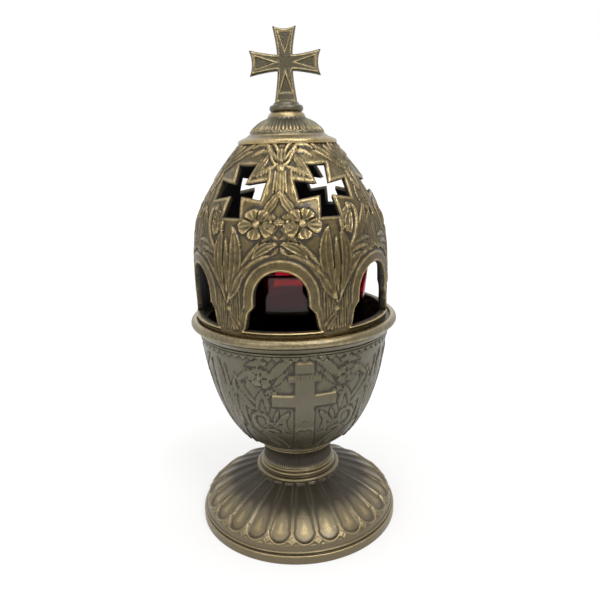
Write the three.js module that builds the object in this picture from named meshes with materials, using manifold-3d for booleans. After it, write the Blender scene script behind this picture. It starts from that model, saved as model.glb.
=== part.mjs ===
// A vigil lamp: a cast bronze foot, neck and bowl held together by one bolt, a ruby glass
// that stands in the bowl with a floating wick in it, and a pierced dome with a cross on top.
// Millimetres, +Z up, standing on z = 0. The relief cross of the bowl faces -Y.

import * as THREE from 'three';
import { mergeVertices } from 'three/addons/utils/BufferGeometryUtils.js';
import Module from 'manifold-3d';

const wasm = await Module();
wasm.setup();

// Foot: a low bell with a plain upright ring and hollow flutes that meet in sharp ridges
const footRadius = 52.85;
const footRingHeight = 3.9;
const footRingChamfer = 1.05;
const footRingBand = 2.3;
const footBandHeight = 3.7;
const footShoulderHeight = 16.8;
const footCollarRadius = 21.2;
const footCollarHeight = 2.1;
const footFluteCount = 24;
const footFluteDepth = 1.9;
const footWall = 3.2;
const footCrown = 5.5;
const footStepHeight = 1.6;
const footTurn = THREE.MathUtils.degToRad(5.05);

// Neck: a turned collar with beads and a hollow waist
const neckHeight = 15.6;
const neckBeadRadius = 20;
const neckBeadHeight = 1.6;
const neckBeadRound = 0.6;
const neckGrooveDepth = 0.9;
const neckGrooveHeight = 0.9;
const neckWaistBottom = 4;
const neckWaistRadius = 17.9;
const neckFlangeRadius = 20.6;
const neckFlangeHeight = 1.8;
const neckLip = 1.4;

// Bowl
const bowlHeight = 57.8;
const bowlRingRadius = 21;
const bowlRingHeight = 1.6;
const bowlWall = 3;
const bowlFloor = 5;
const rimHeight = 12.3;
const rimWidth = 3.5;
const rimOverhang = 5.1;
const seatDepth = 2.3;
const glassLedgeWidth = 6.5;
const glassLedgeHeight = 12.1;

// Dome
const domeRadius = 48.3;
const domeWall = 2.4;
const domeHeight = 86.9;
const domeCrownRadius = 21.4;
const domeBaseHeight = 3.5;
const domeSideClearance = 1.1;
const domeShift = 0.7;
const domeTurn = THREE.MathUtils.degToRad(-10.95);
const sectorCount = 6;

// Arched windows of the dome: a round head on jambs that step outwards above the sill
const archRadius = 12.3;
const archSpringing = 15.7;
const archStepHeight = 9.1;
const archFootHalfWidth = 16.5;
const archSillHalfWidth = 17.9;
const archMouldingWidth = 4.2;
const archMouldingProud = 1;

// Cross-shaped windows of the dome, halfway between the arches
const crossWindowHeight = 62.2;
const crossWindowReach = 12.8;
const crossWindowInner = 2.85;
const crossWindowOuter = 4.6;

// Cap on the dome's crown
const capHeight = 13.4;
const capRadius = 21.9;
const capBandHeight = 4.1;
const capFluteRadius = 18.6;
const capNeckRadius = 9.6;
const capTopRadius = 7.3;
const capFluteCount = 30;
const capFluteDepth = 0.9;
const capWall = 2.5;
const capBossRadius = 5.5;

// Cross finial: four flared arms with hollow ends on a round collar
const crossSideReach = 16.8;
const crossTopReach = 15.4;
const crossFootReach = 19.8;
const crossInner = 3.7;
const crossOuter = 5.8;
const crossHollow = 1.3;
const crossThickness = 4.5;
const crossPanelDepth = 0.6;
const crossPanelBorder = 1.5;
const crossTurn = THREE.MathUtils.degToRad(5.8);
const collarRadius = 7.75;
const collarHeight = 3.9;

// Ruby glass
const glassHeight = 83.7;
const glassRimRadius = 38.8;
const glassBaseRadius = 28.8;
const glassWall = 2.4;
const glassFloor = 6;
const glassEdge = 1.5;

// Floating wick
const corkRadius = 20;
const corkThickness = 7;
const plateRadius = 13;
const plateThickness = 0.5;
const plateLobes = 8;
const plateLobeDepth = 1.4;
const wickTubeRadius = 2.2;
const wickTubeBore = 1.35;
const wickTubeRise = 4.5;
const wickFlangeRadius = 4;
const wickFlangeThickness = 0.6;
const wickRadius = 1.15;
const wickRise = 3;

// Bolt through the foot, neck and bowl, and stud through the dome and cap
const boltRadius = 3;
const boltLength = 35;
const boltHeadFlats = 10;
const boltHeadHeight = 4;
const boltWasherRadius = 6;
const boltWasherThickness = 1.6;
const boltNutHeight = 5;
const studRadius = 1.5;
const studDepth = 5;
const studTail = 1;
const studNutFlats = 5.5;
const studNutHeight = 2.4;
const studWasherRadius = 3.5;
const studWasherThickness = 0.8;

// Clearances
const holeClearance = 0.3;
const threadClearance = 0.15;
const seatGap = 0.3;
const tubeClearance = 0.3;
const blindEnd = 0.5;

// Fineness of the turned surfaces
const bowlSides = 48;
const domeSides = 42;
const neckSides = 36;
const glassSides = 36;
const smallSides = 16;
const footColumns = 3;
const capColumns = 2;

// Heights of the stack, each from the piece below
const footHeight = footRingHeight + footRingChamfer + footBandHeight + footShoulderHeight + footCollarHeight;
const neckSeat = footHeight;
const bowlSeat = neckSeat + neckHeight;
const bowlMouth = bowlSeat + bowlHeight;
const rimTop = bowlMouth + rimHeight;
const rimInnerRadius = domeRadius + domeSideClearance;
const rimRadius = rimInnerRadius + rimWidth;
const bowlRadius = rimRadius - rimOverhang;
const domeSeat = rimTop - seatDepth + seatGap;
const glassSeat = bowlSeat + glassLedgeHeight;
const glassStand = glassSeat + seatGap;
const floatStand = glassStand + glassFloor + seatGap;

const point = (radius, height) => new THREE.Vector2(radius, height);

// A closed mesh with merged corners, no collapsed triangles and its faces pointing out
function closed(geometry) {
  const bare = geometry.index ? geometry.clone() : geometry;
  bare.deleteAttribute('normal');
  bare.deleteAttribute('uv');
  const merged = mergeVertices(bare, 1e-4);
  const corners = merged.getIndex().array;
  const place = merged.getAttribute('position');
  const a = new THREE.Vector3();
  const b = new THREE.Vector3();
  const c = new THREE.Vector3();
  const kept = [];
  let volume = 0;
  for (let i = 0; i < corners.length; i += 3) {
    const [p, q, r] = [corners[i], corners[i + 1], corners[i + 2]];
    if (p === q || q === r || r === p) continue;
    kept.push(p, q, r);
    a.fromBufferAttribute(place, p);
    b.fromBufferAttribute(place, q);
    c.fromBufferAttribute(place, r);
    volume += a.dot(b.cross(c));
  }
  merged.setIndex(volume < 0 ? kept.reverse() : kept);
  return merged;
}

function solid(geometry) {
  const mesh = closed(geometry);
  return new wasm.Manifold(new wasm.Mesh({
    numProp: 3,
    vertProperties: new Float32Array(mesh.getAttribute('position').array),
    triVerts: new Uint32Array(mesh.getIndex().array),
  }));
}

function geometryOf(manifold) {
  const mesh = manifold.getMesh();
  const geometry = new THREE.BufferGeometry();
  geometry.setAttribute('position', new THREE.BufferAttribute(mesh.vertProperties, 3));
  geometry.setIndex(new THREE.BufferAttribute(mesh.triVerts, 1));
  return geometry;
}

// A profile of points (radius, height) turned about +Z
function turned(profile, sides) {
  return new THREE.LatheGeometry(profile, sides).rotateX(Math.PI / 2);
}

// Points on a curve, moved to its left side by a distance
function beside(curve, distance, count) {
  return Array.from({ length: count + 1 }, (_, i) => {
    const tangent = curve.getTangent(i / count);
    return curve.getPoint(i / count).add(point(-tangent.y, tangent.x).multiplyScalar(distance));
  });
}

// Where a rising list of points crosses a height
function radiusAt(points, height) {
  const above = points.findIndex((p) => p.y > height);
  const [low, high] = [points[above - 1], points[above]];
  return THREE.MathUtils.mapLinear(height, low.y, high.y, low.x, high.x);
}

// A turned solid whose rows between two marks are hollowed into flutes that meet in ridges
function fluted(profile, firstRow, lastRow, count, columns, depth) {
  const geometry = turned(profile, count * columns);
  const place = geometry.getAttribute('position');
  const rows = profile.length;
  for (let i = 0; i < place.count; i++) {
    const row = i % rows;
    if (row <= firstRow || row >= lastRow) continue;
    const across = ((i - row) / rows / columns) % 1;
    const hollow = depth * 4 * across * (1 - across);
    const slope = profile[row + 1].clone().sub(profile[row - 1]).normalize();
    const radius = Math.hypot(place.getX(i), place.getY(i));
    const scale = (radius - hollow * Math.abs(slope.y)) / radius;
    place.setXYZ(i, place.getX(i) * scale, place.getY(i) * scale, place.getZ(i) - hollow * Math.abs(slope.x));
  }
  return geometry;
}

function hexagon(flats) {
  const corner = flats / Math.sqrt(3);
  return new THREE.Shape(Array.from({ length: 6 }, (_, i) => {
    const angle = (i * Math.PI) / 3;
    return point(corner * Math.cos(angle), corner * Math.sin(angle));
  }));
}

function withHole(shape, radius) {
  const hole = new THREE.Path();
  hole.absarc(0, 0, radius, 0, 2 * Math.PI, true);
  shape.holes.push(hole);
  return shape;
}

function plate(shape, thickness) {
  return new THREE.ExtrudeGeometry(shape, { depth: thickness, bevelEnabled: false, curveSegments: smallSides });
}

function washer(radius, bore, thickness) {
  const profile = [point(bore, 0), point(radius, 0), point(radius, thickness), point(bore, thickness), point(bore, 0)];
  return turned(profile, smallSides);
}

// Foot

const fluteTipRadius = footRadius - footRingBand;
const fluteTipHeight = footRingHeight + footRingChamfer + footBandHeight;
const shoulderTop = fluteTipHeight + footShoulderHeight;

const footShoulder = new THREE.CubicBezierCurve(
  point(fluteTipRadius, fluteTipHeight),
  point(fluteTipRadius - 5.1, fluteTipHeight + footShoulderHeight * 0.43),
  point(footCollarRadius + 13.8, shoulderTop - footShoulderHeight * 0.22),
  point(footCollarRadius + 1.2, shoulderTop),
);

function footGeometry() {
  const rows = 7;
  const shoulder = footShoulder.getPoints(rows);
  const below = [
    point(0, 0),
    point(footRadius, 0),
    point(footRadius, footRingHeight),
    point(footRadius - footRingChamfer, footRingHeight + footRingChamfer),
    point(footRadius - footRingChamfer, footRingHeight + footRingChamfer + footStepHeight),
  ];
  const profile = [
    ...below,
    ...shoulder,
    point(footCollarRadius, shoulderTop + footCollarHeight * 0.4),
    point(footCollarRadius - 0.4, footHeight),
    point(0, footHeight),
  ];
  const lastRow = below.length + rows;
  const outside = solid(fluted(profile, below.length, lastRow, footFluteCount, footColumns, footFluteDepth));
  const lining = beside(footShoulder, footWall + footFluteDepth * 0.6, rows);
  const crownUnderside = footHeight - footCrown;
  const hollow = solid(turned([
    point(0, -1),
    point(footRadius - footWall, -1),
    point(footRadius - footWall, footRingHeight + footRingChamfer * 0.4),
    ...lining.filter((p) => p.y > footRingHeight + footRingChamfer && p.y < crownUnderside - 1),
    point(boltWasherRadius + 2, crownUnderside),
    point(0, crownUnderside),
  ], bowlSides));
  const hole = solid(new THREE.CylinderGeometry(
    boltRadius + holeClearance, boltRadius + holeClearance, footHeight * 3, smallSides,
  ).rotateX(Math.PI / 2));
  return geometryOf(outside.subtract(hollow).subtract(hole));
}

// Neck

function neckGeometry() {
  const bore = boltRadius + holeClearance;
  const flangeBottom = neckHeight - neckFlangeHeight;
  const lower = neckBeadRadius - neckGrooveDepth;
  const upper = neckFlangeRadius - neckLip;
  const waist = new THREE.QuadraticBezierCurve(
    point(lower, neckWaistBottom),
    point(2 * neckWaistRadius - (lower + upper) / 2, (neckWaistBottom + flangeBottom) / 2),
    point(upper, flangeBottom),
  );
  return turned([
    point(bore, 0),
    point(neckBeadRadius - neckBeadRound, 0),
    point(neckBeadRadius, neckBeadHeight / 2),
    point(neckBeadRadius, neckBeadHeight),
    point(lower, neckBeadHeight + neckGrooveHeight),
    point(neckBeadRadius - neckBeadRound, (neckBeadHeight + neckGrooveHeight + neckWaistBottom) / 2),
    ...waist.getPoints(4),
    point(neckFlangeRadius, neckHeight - neckFlangeHeight * 0.6),
    point(neckFlangeRadius, neckHeight),
    point(bore, neckHeight),
    point(bore, 0),
  ], neckSides);
}

// Bowl

const bowlSide = new THREE.CubicBezierCurve(
  point(bowlRingRadius - 0.5, bowlRingHeight),
  point(bowlRingRadius + 8.3, bowlRingHeight + 1.8),
  point(bowlRadius - 3.5, bowlHeight * 0.4),
  point(bowlRadius, bowlHeight),
);

function bowlGeometry() {
  const bore = boltRadius + holeClearance;
  const top = bowlHeight + rimHeight;
  const seat = top - seatDepth;
  const bead = rimRadius;
  const beadHeight = rimHeight * 0.45;
  const lining = beside(bowlSide, bowlWall, 8).filter((p) => p.y > bowlFloor);
  const ledgeOuter = radiusAt(lining, glassLedgeHeight);
  const wall = lining.filter((p) => p.y > glassLedgeHeight + 0.5).reverse();
  return turned([
    point(bore, 0),
    point(bowlRingRadius - 0.4, 0),
    point(bowlRingRadius, bowlRingHeight * 0.5),
    ...bowlSide.getPoints(8),
    point(bowlRadius + 1.3, bowlHeight + 0.6),
    point(bowlRadius + 2, bowlHeight + rimHeight * 0.3),
    point(bead - 1.6, top - beadHeight - rimHeight * 0.14),
    point(bead - 0.5, top - beadHeight),
    point(bead, top - beadHeight * 0.72),
    point(bead, top - beadHeight * 0.36),
    point(bead - rimWidth * 0.2, top - beadHeight * 0.1),
    point(bead - rimWidth * 0.5, top),
    point(bead - rimWidth * 0.8, top - beadHeight * 0.1),
    point(rimInnerRadius, top - beadHeight * 0.3),
    point(rimInnerRadius, seat),
    point(bowlRadius - bowlWall, seat),
    ...wall,
    point(ledgeOuter, glassLedgeHeight),
    point(ledgeOuter - glassLedgeWidth, glassLedgeHeight),
    point(ledgeOuter - glassLedgeWidth, bowlFloor),
    point(bore, bowlFloor),
    point(bore, 0),
  ], bowlSides);
}

// Dome, in its own frame: z = 0 is the underside that stands on the bowl's seat

const domeSide = new THREE.CubicBezierCurve(
  point(domeRadius, domeBaseHeight),
  point(domeRadius + 1.1, domeBaseHeight + domeHeight * 0.36),
  point(domeRadius + 2.3, domeBaseHeight + domeHeight * 0.71),
  point(domeCrownRadius, domeHeight),
);

// The dome's side as a table of lengths along it, to carry an outline onto its surface
const sideSteps = 200;
const sideLengths = domeSide.getLengths(sideSteps);
const sidePoints = domeSide.getPoints(sideSteps);

function alongAtHeight(height) {
  const above = sidePoints.findIndex((p) => p.y > height);
  return THREE.MathUtils.mapLinear(
    height, sidePoints[above - 1].y, sidePoints[above].y, sideLengths[above - 1], sideLengths[above],
  );
}

// A point of an outline (across, along) on the dome, raised by a distance out of its surface
function onDome(across, along, raised, azimuth) {
  const t = along <= 0 ? 0 : domeSide.getUtoTmapping(0, along);
  const tangent = domeSide.getTangent(t);
  const base = domeSide.getPoint(t);
  if (along < 0) base.addScaledVector(tangent, along);
  const angle = azimuth + across / base.x;
  base.add(point(tangent.y, -tangent.x).multiplyScalar(raised));
  return new THREE.Vector3(base.x * Math.sin(angle), -base.x * Math.cos(angle), base.y);
}

// A flat outline laid on the dome as a solid between two distances from its surface
function laidOnDome(shape, centreAlong, azimuth, from, to) {
  const geometry = new THREE.ExtrudeGeometry(shape, { depth: 1, bevelEnabled: false, curveSegments: 5 });
  const place = geometry.getAttribute('position');
  for (let i = 0; i < place.count; i++) {
    const raised = THREE.MathUtils.lerp(from, to, place.getZ(i));
    const p = onDome(place.getX(i), centreAlong + place.getY(i), raised, azimuth);
    place.setXYZ(i, p.x, p.y, p.z);
  }
  return solid(geometry);
}

function archOutline() {
  const shape = new THREE.Shape();
  shape.moveTo(0, 0);
  shape.lineTo(archSillHalfWidth, 0);
  shape.lineTo(archFootHalfWidth, archStepHeight * 0.2);
  shape.lineTo(archFootHalfWidth - 0.8, archStepHeight * 0.7);
  shape.lineTo(archRadius + 2.8, archStepHeight);
  shape.lineTo(archRadius + 0.9, archStepHeight + 2.5);
  shape.lineTo(archRadius, archStepHeight + 4.6);
  shape.lineTo(archRadius, archSpringing);
  shape.absarc(0, archSpringing, archRadius, 0, Math.PI, false);
  shape.lineTo(-archRadius, archStepHeight + 4.6);
  shape.lineTo(-archRadius - 0.9, archStepHeight + 2.5);
  shape.lineTo(-archRadius - 2.8, archStepHeight);
  shape.lineTo(-archFootHalfWidth + 0.8, archStepHeight * 0.7);
  shape.lineTo(-archFootHalfWidth, archStepHeight * 0.2);
  shape.lineTo(-archSillHalfWidth, 0);
  return shape;
}

function archMoulding() {
  const outer = archRadius + archMouldingWidth;
  const inner = archRadius - 0.5;
  const bottom = archStepHeight + 2;
  const shape = new THREE.Shape();
  shape.moveTo(outer, bottom);
  shape.lineTo(outer, archSpringing);
  shape.absarc(0, archSpringing, outer, 0, Math.PI, false);
  shape.lineTo(-outer, bottom);
  shape.lineTo(-inner, bottom);
  shape.lineTo(-inner, archSpringing);
  shape.absarc(0, archSpringing, inner, Math.PI, 0, true);
  shape.lineTo(inner, bottom);
  return shape;
}

// A cross whose four arms widen outwards
function crossOutline() {
  const corners = [];
  for (let arm = 0; arm < 4; arm++) {
    const turn = (arm * Math.PI) / 2;
    corners.push(point(crossWindowInner, -crossWindowInner).rotateAround(point(0, 0), turn));
    corners.push(point(crossWindowReach, -crossWindowOuter).rotateAround(point(0, 0), turn));
    corners.push(point(crossWindowReach, crossWindowOuter).rotateAround(point(0, 0), turn));
  }
  return new THREE.Shape(corners);
}

function domeGeometry() {
  const crownUnderside = domeHeight - domeWall;
  const lining = beside(domeSide, domeWall, 7).filter((p) => p.y < crownUnderside - 0.8);
  const shell = turned([
    point(domeRadius - domeWall * 1.2, 0),
    point(domeRadius, 0),
    ...domeSide.getPoints(9),
    point(studRadius + holeClearance, domeHeight),
    point(studRadius + holeClearance, crownUnderside),
    point(domeCrownRadius - domeWall * 0.9, crownUnderside),
    ...lining.reverse(),
    point(domeRadius - domeWall * 1.2, domeBaseHeight),
    point(domeRadius - domeWall * 1.2, 0),
  ], domeSides);
  let dome = solid(shell);
  const crossAlong = alongAtHeight(domeBaseHeight + crossWindowHeight);
  const sunk = domeWall * 0.4;
  for (let i = 0; i < sectorCount; i++) {
    const azimuth = (i * 2 * Math.PI) / sectorCount;
    const between = azimuth + Math.PI / sectorCount;
    dome = dome.add(laidOnDome(archMoulding(), 0, azimuth, -sunk, archMouldingProud));
    dome = dome.subtract(laidOnDome(archOutline(), 0, azimuth, -domeWall * 3, domeWall * 4));
    dome = dome.subtract(laidOnDome(crossOutline(), crossAlong, between, -domeWall * 2, domeWall * 2));
  }
  return geometryOf(dome);
}

// Cap, in its own frame: z = 0 stands on the dome's crown

function capGeometry() {
  const hole = studRadius + holeClearance;
  const shoulder = new THREE.CubicBezierCurve(
    point(capFluteRadius, capBandHeight),
    point(capFluteRadius - 1.6, capBandHeight + 3.3),
    point(capNeckRadius + 4, capHeight - 4),
    point(capNeckRadius, capHeight - 3.1),
  );
  const rows = 5;
  const below = [
    point(hole, 0),
    point(capBossRadius, 0),
    point(capBossRadius, capHeight - capWall * 2),
    point(capFluteRadius - capWall, 0),
    point(capRadius - 0.6, 0),
    point(capRadius, capBandHeight * 0.15),
    point(capRadius - 0.3, capBandHeight * 0.35),
    point(capFluteRadius + 1.4, capBandHeight * 0.75),
  ];
  return fluted([
    ...below,
    ...shoulder.getPoints(rows),
    point(capTopRadius + 1.3, capHeight - 1.5),
    point(capTopRadius, capHeight),
    point(hole, capHeight),
    point(hole, 0),
  ], below.length, below.length + rows, capFluteCount, capColumns, capFluteDepth);
}

// Cross finial, in its own frame: z = 0 stands on the cap

function finialOutline() {
  const middle = collarHeight + crossFootReach - 0.7;
  const shape = new THREE.Shape();
  const side = crossInner * 2;
  shape.moveTo(crossOuter - 0.2, middle - crossFootReach);
  shape.quadraticCurveTo(crossInner, middle - side, crossInner, middle - crossInner);
  shape.quadraticCurveTo(side, middle - crossInner, crossSideReach, middle - crossOuter);
  shape.quadraticCurveTo(crossSideReach - crossHollow * 2, middle, crossSideReach, middle + crossOuter);
  shape.quadraticCurveTo(side, middle + crossInner, crossInner, middle + crossInner);
  shape.quadraticCurveTo(crossInner, middle + side, crossOuter - 0.2, middle + crossTopReach);
  shape.quadraticCurveTo(0, middle + crossTopReach - crossHollow * 2, 0.2 - crossOuter, middle + crossTopReach);
  shape.quadraticCurveTo(-crossInner, middle + side, -crossInner, middle + crossInner);
  shape.quadraticCurveTo(-side, middle + crossInner, -crossSideReach, middle + crossOuter);
  shape.quadraticCurveTo(crossHollow * 2 - crossSideReach, middle, -crossSideReach, middle - crossOuter);
  shape.quadraticCurveTo(-side, middle - crossInner, -crossInner, middle - crossInner);
  shape.quadraticCurveTo(-crossInner, middle - side, 0.2 - crossOuter, middle - crossFootReach);
  return { shape, middle };
}

// A pointed panel for one arm, from its point near the middle to its broad end
function armPanel(reach, turn, middle) {
  const near = crossInner + 1.2;
  const far = reach - crossHollow - crossPanelBorder;
  const half = crossOuter - crossPanelBorder * 1.35;
  return new THREE.Shape([point(near, 0), point(far, -half), point(far, half)].map((corner) => {
    const p = corner.rotateAround(point(0, 0), turn);
    return point(p.x, p.y + middle);
  }));
}

// An outline drawn across and up, stood upright with its thickness along Y from one depth on
function upright(shape, from, thickness, segments) {
  return new THREE.ExtrudeGeometry(shape, { depth: thickness, bevelEnabled: false, curveSegments: segments })
    .rotateX(Math.PI / 2)
    .translate(0, from + thickness, 0);
}

function finialGeometry() {
  const { shape, middle } = finialOutline();
  let finial = solid(upright(shape, -crossThickness / 2, crossThickness, 5));
  finial = finial.add(solid(turned([
    point(0, 0),
    point(collarRadius - 0.9, 0),
    point(collarRadius, collarHeight * 0.3),
    point(collarRadius, collarHeight * 0.6),
    point(collarRadius - 0.8, collarHeight * 0.9),
    point(collarRadius - 1.9, collarHeight),
    point(0, collarHeight),
  ], smallSides)));
  const reaches = [crossSideReach, crossTopReach, crossSideReach, crossFootReach - collarHeight * 0.3];
  const face = crossThickness / 2 - crossPanelDepth;
  reaches.forEach((reach, arm) => {
    const panel = armPanel(reach, (arm * Math.PI) / 2, middle);
    finial = finial.subtract(solid(upright(panel, face, crossThickness, 1)));
    finial = finial.subtract(solid(upright(panel, -face - crossThickness, crossThickness, 1)));
  });
  const boreRadius = studRadius + threadClearance;
  const boreLength = 2 * (studDepth + blindEnd);
  const bore = solid(new THREE.CylinderGeometry(boreRadius, boreRadius, boreLength, smallSides)
    .rotateX(Math.PI / 2));
  return geometryOf(finial.subtract(bore));
}

// Ruby glass, standing on z = 0

function glassGeometry() {
  return turned([
    point(0, 0),
    point(glassBaseRadius - glassEdge, 0),
    point(glassBaseRadius, glassEdge),
    point(glassRimRadius, glassHeight - glassWall * 0.4),
    point(glassRimRadius - glassWall * 0.3, glassHeight),
    point(glassRimRadius - glassWall * 0.7, glassHeight),
    point(glassRimRadius - glassWall, glassHeight - glassWall * 0.4),
    point(glassBaseRadius - glassWall, glassFloor + glassEdge),
    point(glassBaseRadius - glassWall - glassEdge, glassFloor),
    point(0, glassFloor),
  ], glassSides);
}

// Floating wick: a cork disc, a lobed tin plate, a small flanged tube and the wick

const tubeHole = wickTubeRadius + tubeClearance;
const tubeLength = corkThickness - blindEnd + plateThickness + wickFlangeThickness + wickTubeRise;

function corkGeometry() {
  const edge = 1;
  return turned([
    point(tubeHole, 0),
    point(corkRadius - edge, 0),
    point(corkRadius, edge),
    point(corkRadius, corkThickness - edge),
    point(corkRadius - edge, corkThickness),
    point(tubeHole, corkThickness),
    point(tubeHole, 0),
  ], glassSides);
}

function plateGeometry() {
  const rim = Array.from({ length: plateLobes * 4 }, (_, i) => {
    const angle = (i * 2 * Math.PI) / (plateLobes * 4);
    const radius = plateRadius - plateLobeDepth * Math.abs(Math.sin((plateLobes * angle) / 2));
    return point(radius * Math.cos(angle), radius * Math.sin(angle));
  });
  return plate(withHole(new THREE.Shape(rim), tubeHole), plateThickness);
}

function wickTubeGeometry() {
  const below = corkThickness - blindEnd + plateThickness;
  return turned([
    point(wickTubeBore, 0),
    point(wickTubeRadius, 0),
    point(wickTubeRadius, below),
    point(wickFlangeRadius, below),
    point(wickFlangeRadius, below + wickFlangeThickness),
    point(wickTubeRadius, below + wickFlangeThickness),
    point(wickTubeRadius, tubeLength),
    point(wickTubeBore, tubeLength),
    point(wickTubeBore, 0),
  ], smallSides);
}

function wickGeometry() {
  const length = tubeLength + wickRise;
  return turned([
    point(0, 0),
    point(wickRadius, 0),
    point(wickRadius, length - wickRadius * 0.6),
    point(wickRadius * 0.6, length),
    point(0, length),
  ], 12);
}

// Bolt, stud, nuts

function tieBoltGeometry() {
  const head = solid(plate(hexagon(boltHeadFlats), boltHeadHeight));
  const shank = solid(turned([
    point(0, -boltLength),
    point(boltRadius - 0.5, -boltLength),
    point(boltRadius, 0.5 - boltLength),
    point(boltRadius, boltHeadHeight / 2),
    point(0, boltHeadHeight / 2),
  ], smallSides));
  return geometryOf(head.add(shank));
}

function nutGeometry(flats, bore, height) {
  return plate(withHole(hexagon(flats), bore), height);
}

const studLength = studDepth + capHeight + domeWall + studWasherThickness + studNutHeight + studTail;

// Materials

const finish = (color, roughness, metalness) => new THREE.MeshStandardMaterial({ color, roughness, metalness });
const bronze = { color: 0x8c7c52, roughness: 0.42, metalness: 0.9 };
const castBronze = () => finish(bronze.color, bronze.roughness, bronze.metalness);
const brightBronze = () => finish(0xa08a55, 0.36, 0.92);
const steel = () => finish(0x8f9092, 0.35, 1);
const brass = () => finish(0xb79a55, 0.38, 1);
const tin = () => finish(0xb9b9b4, 0.4, 0.9);
const cork = () => finish(0xa87c4e, 0.9, 0);
const cotton = () => finish(0xe6dfcd, 0.95, 0);

function rubyGlass() {
  const material = finish(0x6d0a18, 0.08, 0);
  material.transparent = true;
  material.opacity = 0.7;
  return material;
}

// Assembly

function part(name, geometry, material, height) {
  const mesh = new THREE.Mesh(geometry, material);
  mesh.name = name;
  mesh.position.z = height;
  return mesh;
}

const lamp = new THREE.Group();

const foot = part('foot', footGeometry(), castBronze(), 0);
foot.rotation.z = footTurn;
lamp.add(foot);
lamp.add(part('neck_collar', neckGeometry(), castBronze(), neckSeat));
lamp.add(part('bowl', bowlGeometry(), castBronze(), bowlSeat));

const bowlWasherSeat = bowlSeat + bowlFloor;
const footWasherSeat = footHeight - footCrown - boltWasherThickness;
const boltHole = boltRadius + holeClearance;
lamp.add(part('bowl_washer', washer(boltWasherRadius, boltHole, boltWasherThickness), brass(), bowlWasherSeat));
lamp.add(part('tie_bolt', tieBoltGeometry(), steel(), bowlWasherSeat + boltWasherThickness));
lamp.add(part('foot_washer', washer(boltWasherRadius, boltHole, boltWasherThickness), brass(), footWasherSeat));
lamp.add(part(
  'tie_nut',
  nutGeometry(boltHeadFlats, boltRadius + threadClearance, boltNutHeight),
  steel(),
  footWasherSeat - boltNutHeight,
));

lamp.add(part('glass_cup', glassGeometry(), rubyGlass(), glassStand));

const plateSeat = floatStand + corkThickness;
lamp.add(part('float_cork', corkGeometry(), cork(), floatStand));
lamp.add(part('float_plate', plateGeometry(), tin(), plateSeat));
lamp.add(part('wick_tube', wickTubeGeometry(), tin(), floatStand + blindEnd));
lamp.add(part('wick', wickGeometry(), cotton(), floatStand + blindEnd));

const cover = new THREE.Group();
cover.position.set(-domeShift, 0, domeSeat);
cover.rotation.z = domeTurn;
lamp.add(cover);

const finialSeat = domeHeight + capHeight;
const studWasherSeat = domeHeight - domeWall - studWasherThickness;
const studHole = studRadius + holeClearance;
cover.add(part('dome', domeGeometry(), brightBronze(), 0));
cover.add(part('dome_cap', capGeometry(), brightBronze(), domeHeight));
const finial = part('cross_finial', finialGeometry(), castBronze(), finialSeat);
finial.rotation.z = crossTurn;
cover.add(finial);
const studProfile = [point(0, 0), point(studRadius, 0), point(studRadius, studLength), point(0, studLength)];
cover.add(part('finial_stud', turned(studProfile, smallSides), brass(), finialSeat + studDepth - studLength));
cover.add(part(
  'finial_washer',
  washer(studWasherRadius, studHole, studWasherThickness),
  brass(),
  studWasherSeat,
));
cover.add(part(
  'finial_nut',
  nutGeometry(studNutFlats, studRadius + threadClearance, studNutHeight),
  brass(),
  studWasherSeat - studNutHeight,
));

export default lamp;
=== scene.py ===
# %% [markdown]
# # A cast bronze vigil lamp
# The real lamp is a stack of bronze castings round one axis: a fluted foot, a small reeded neck,
# a bowl with a cross in relief, an egg-shaped dome pierced by arches and crosses, and a fluted cap
# with a cross on top. A ruby glass stands inside. Almost every surface is a turned profile with
# relief laid on it, so this lesson builds one good tool for that and uses it for every casting.
#
# Sizes are in millimetres, and only the last step of a mesh turns them into metres.
# Azimuths are in degrees: 0 faces -Y, where the bowl's cross is, and they grow towards +X.

import math

import bpy
import numpy as np
from mathutils import Matrix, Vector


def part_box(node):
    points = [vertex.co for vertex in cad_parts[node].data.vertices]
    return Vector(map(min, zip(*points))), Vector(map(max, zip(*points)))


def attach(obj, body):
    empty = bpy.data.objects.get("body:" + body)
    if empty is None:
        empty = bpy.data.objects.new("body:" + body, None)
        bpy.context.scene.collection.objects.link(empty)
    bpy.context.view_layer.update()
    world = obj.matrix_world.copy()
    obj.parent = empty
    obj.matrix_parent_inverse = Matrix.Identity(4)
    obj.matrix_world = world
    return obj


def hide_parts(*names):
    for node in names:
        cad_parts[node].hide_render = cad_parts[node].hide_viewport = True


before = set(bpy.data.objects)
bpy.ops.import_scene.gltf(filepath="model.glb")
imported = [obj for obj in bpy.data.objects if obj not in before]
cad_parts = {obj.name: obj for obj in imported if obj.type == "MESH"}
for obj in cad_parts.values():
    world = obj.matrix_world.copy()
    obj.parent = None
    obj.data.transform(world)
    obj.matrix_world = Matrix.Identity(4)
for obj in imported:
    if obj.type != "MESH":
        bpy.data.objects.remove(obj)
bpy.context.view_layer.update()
MM = 0.001
DEGREE = math.pi / 180


def extent(node):
    """A node's lowest and highest z in mm, its middle axis (x, y), and its half width."""
    low, high = (np.array(corner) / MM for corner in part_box(node))
    return low[2], high[2], (low + high)[:2] / 2, (high - low)[0] / 2


_, foot_top, _, foot_radius = extent("foot")
neck_base, neck_top, _, neck_radius = extent("neck_collar")
bowl_base, _, _, rim_radius = extent("bowl")
dome_base, dome_crown, dome_axis, _ = extent("dome")
cap_seat, cap_top, _, _ = extent("dome_cap")
finial_base, finial_top, _, _ = extent("cross_finial")
glass_base, glass_top, _, glass_radius = extent("glass_cup")
print("lamp is", round(finial_top, 1), "mm tall, its dome stands at", dome_axis.round(2))

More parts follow.
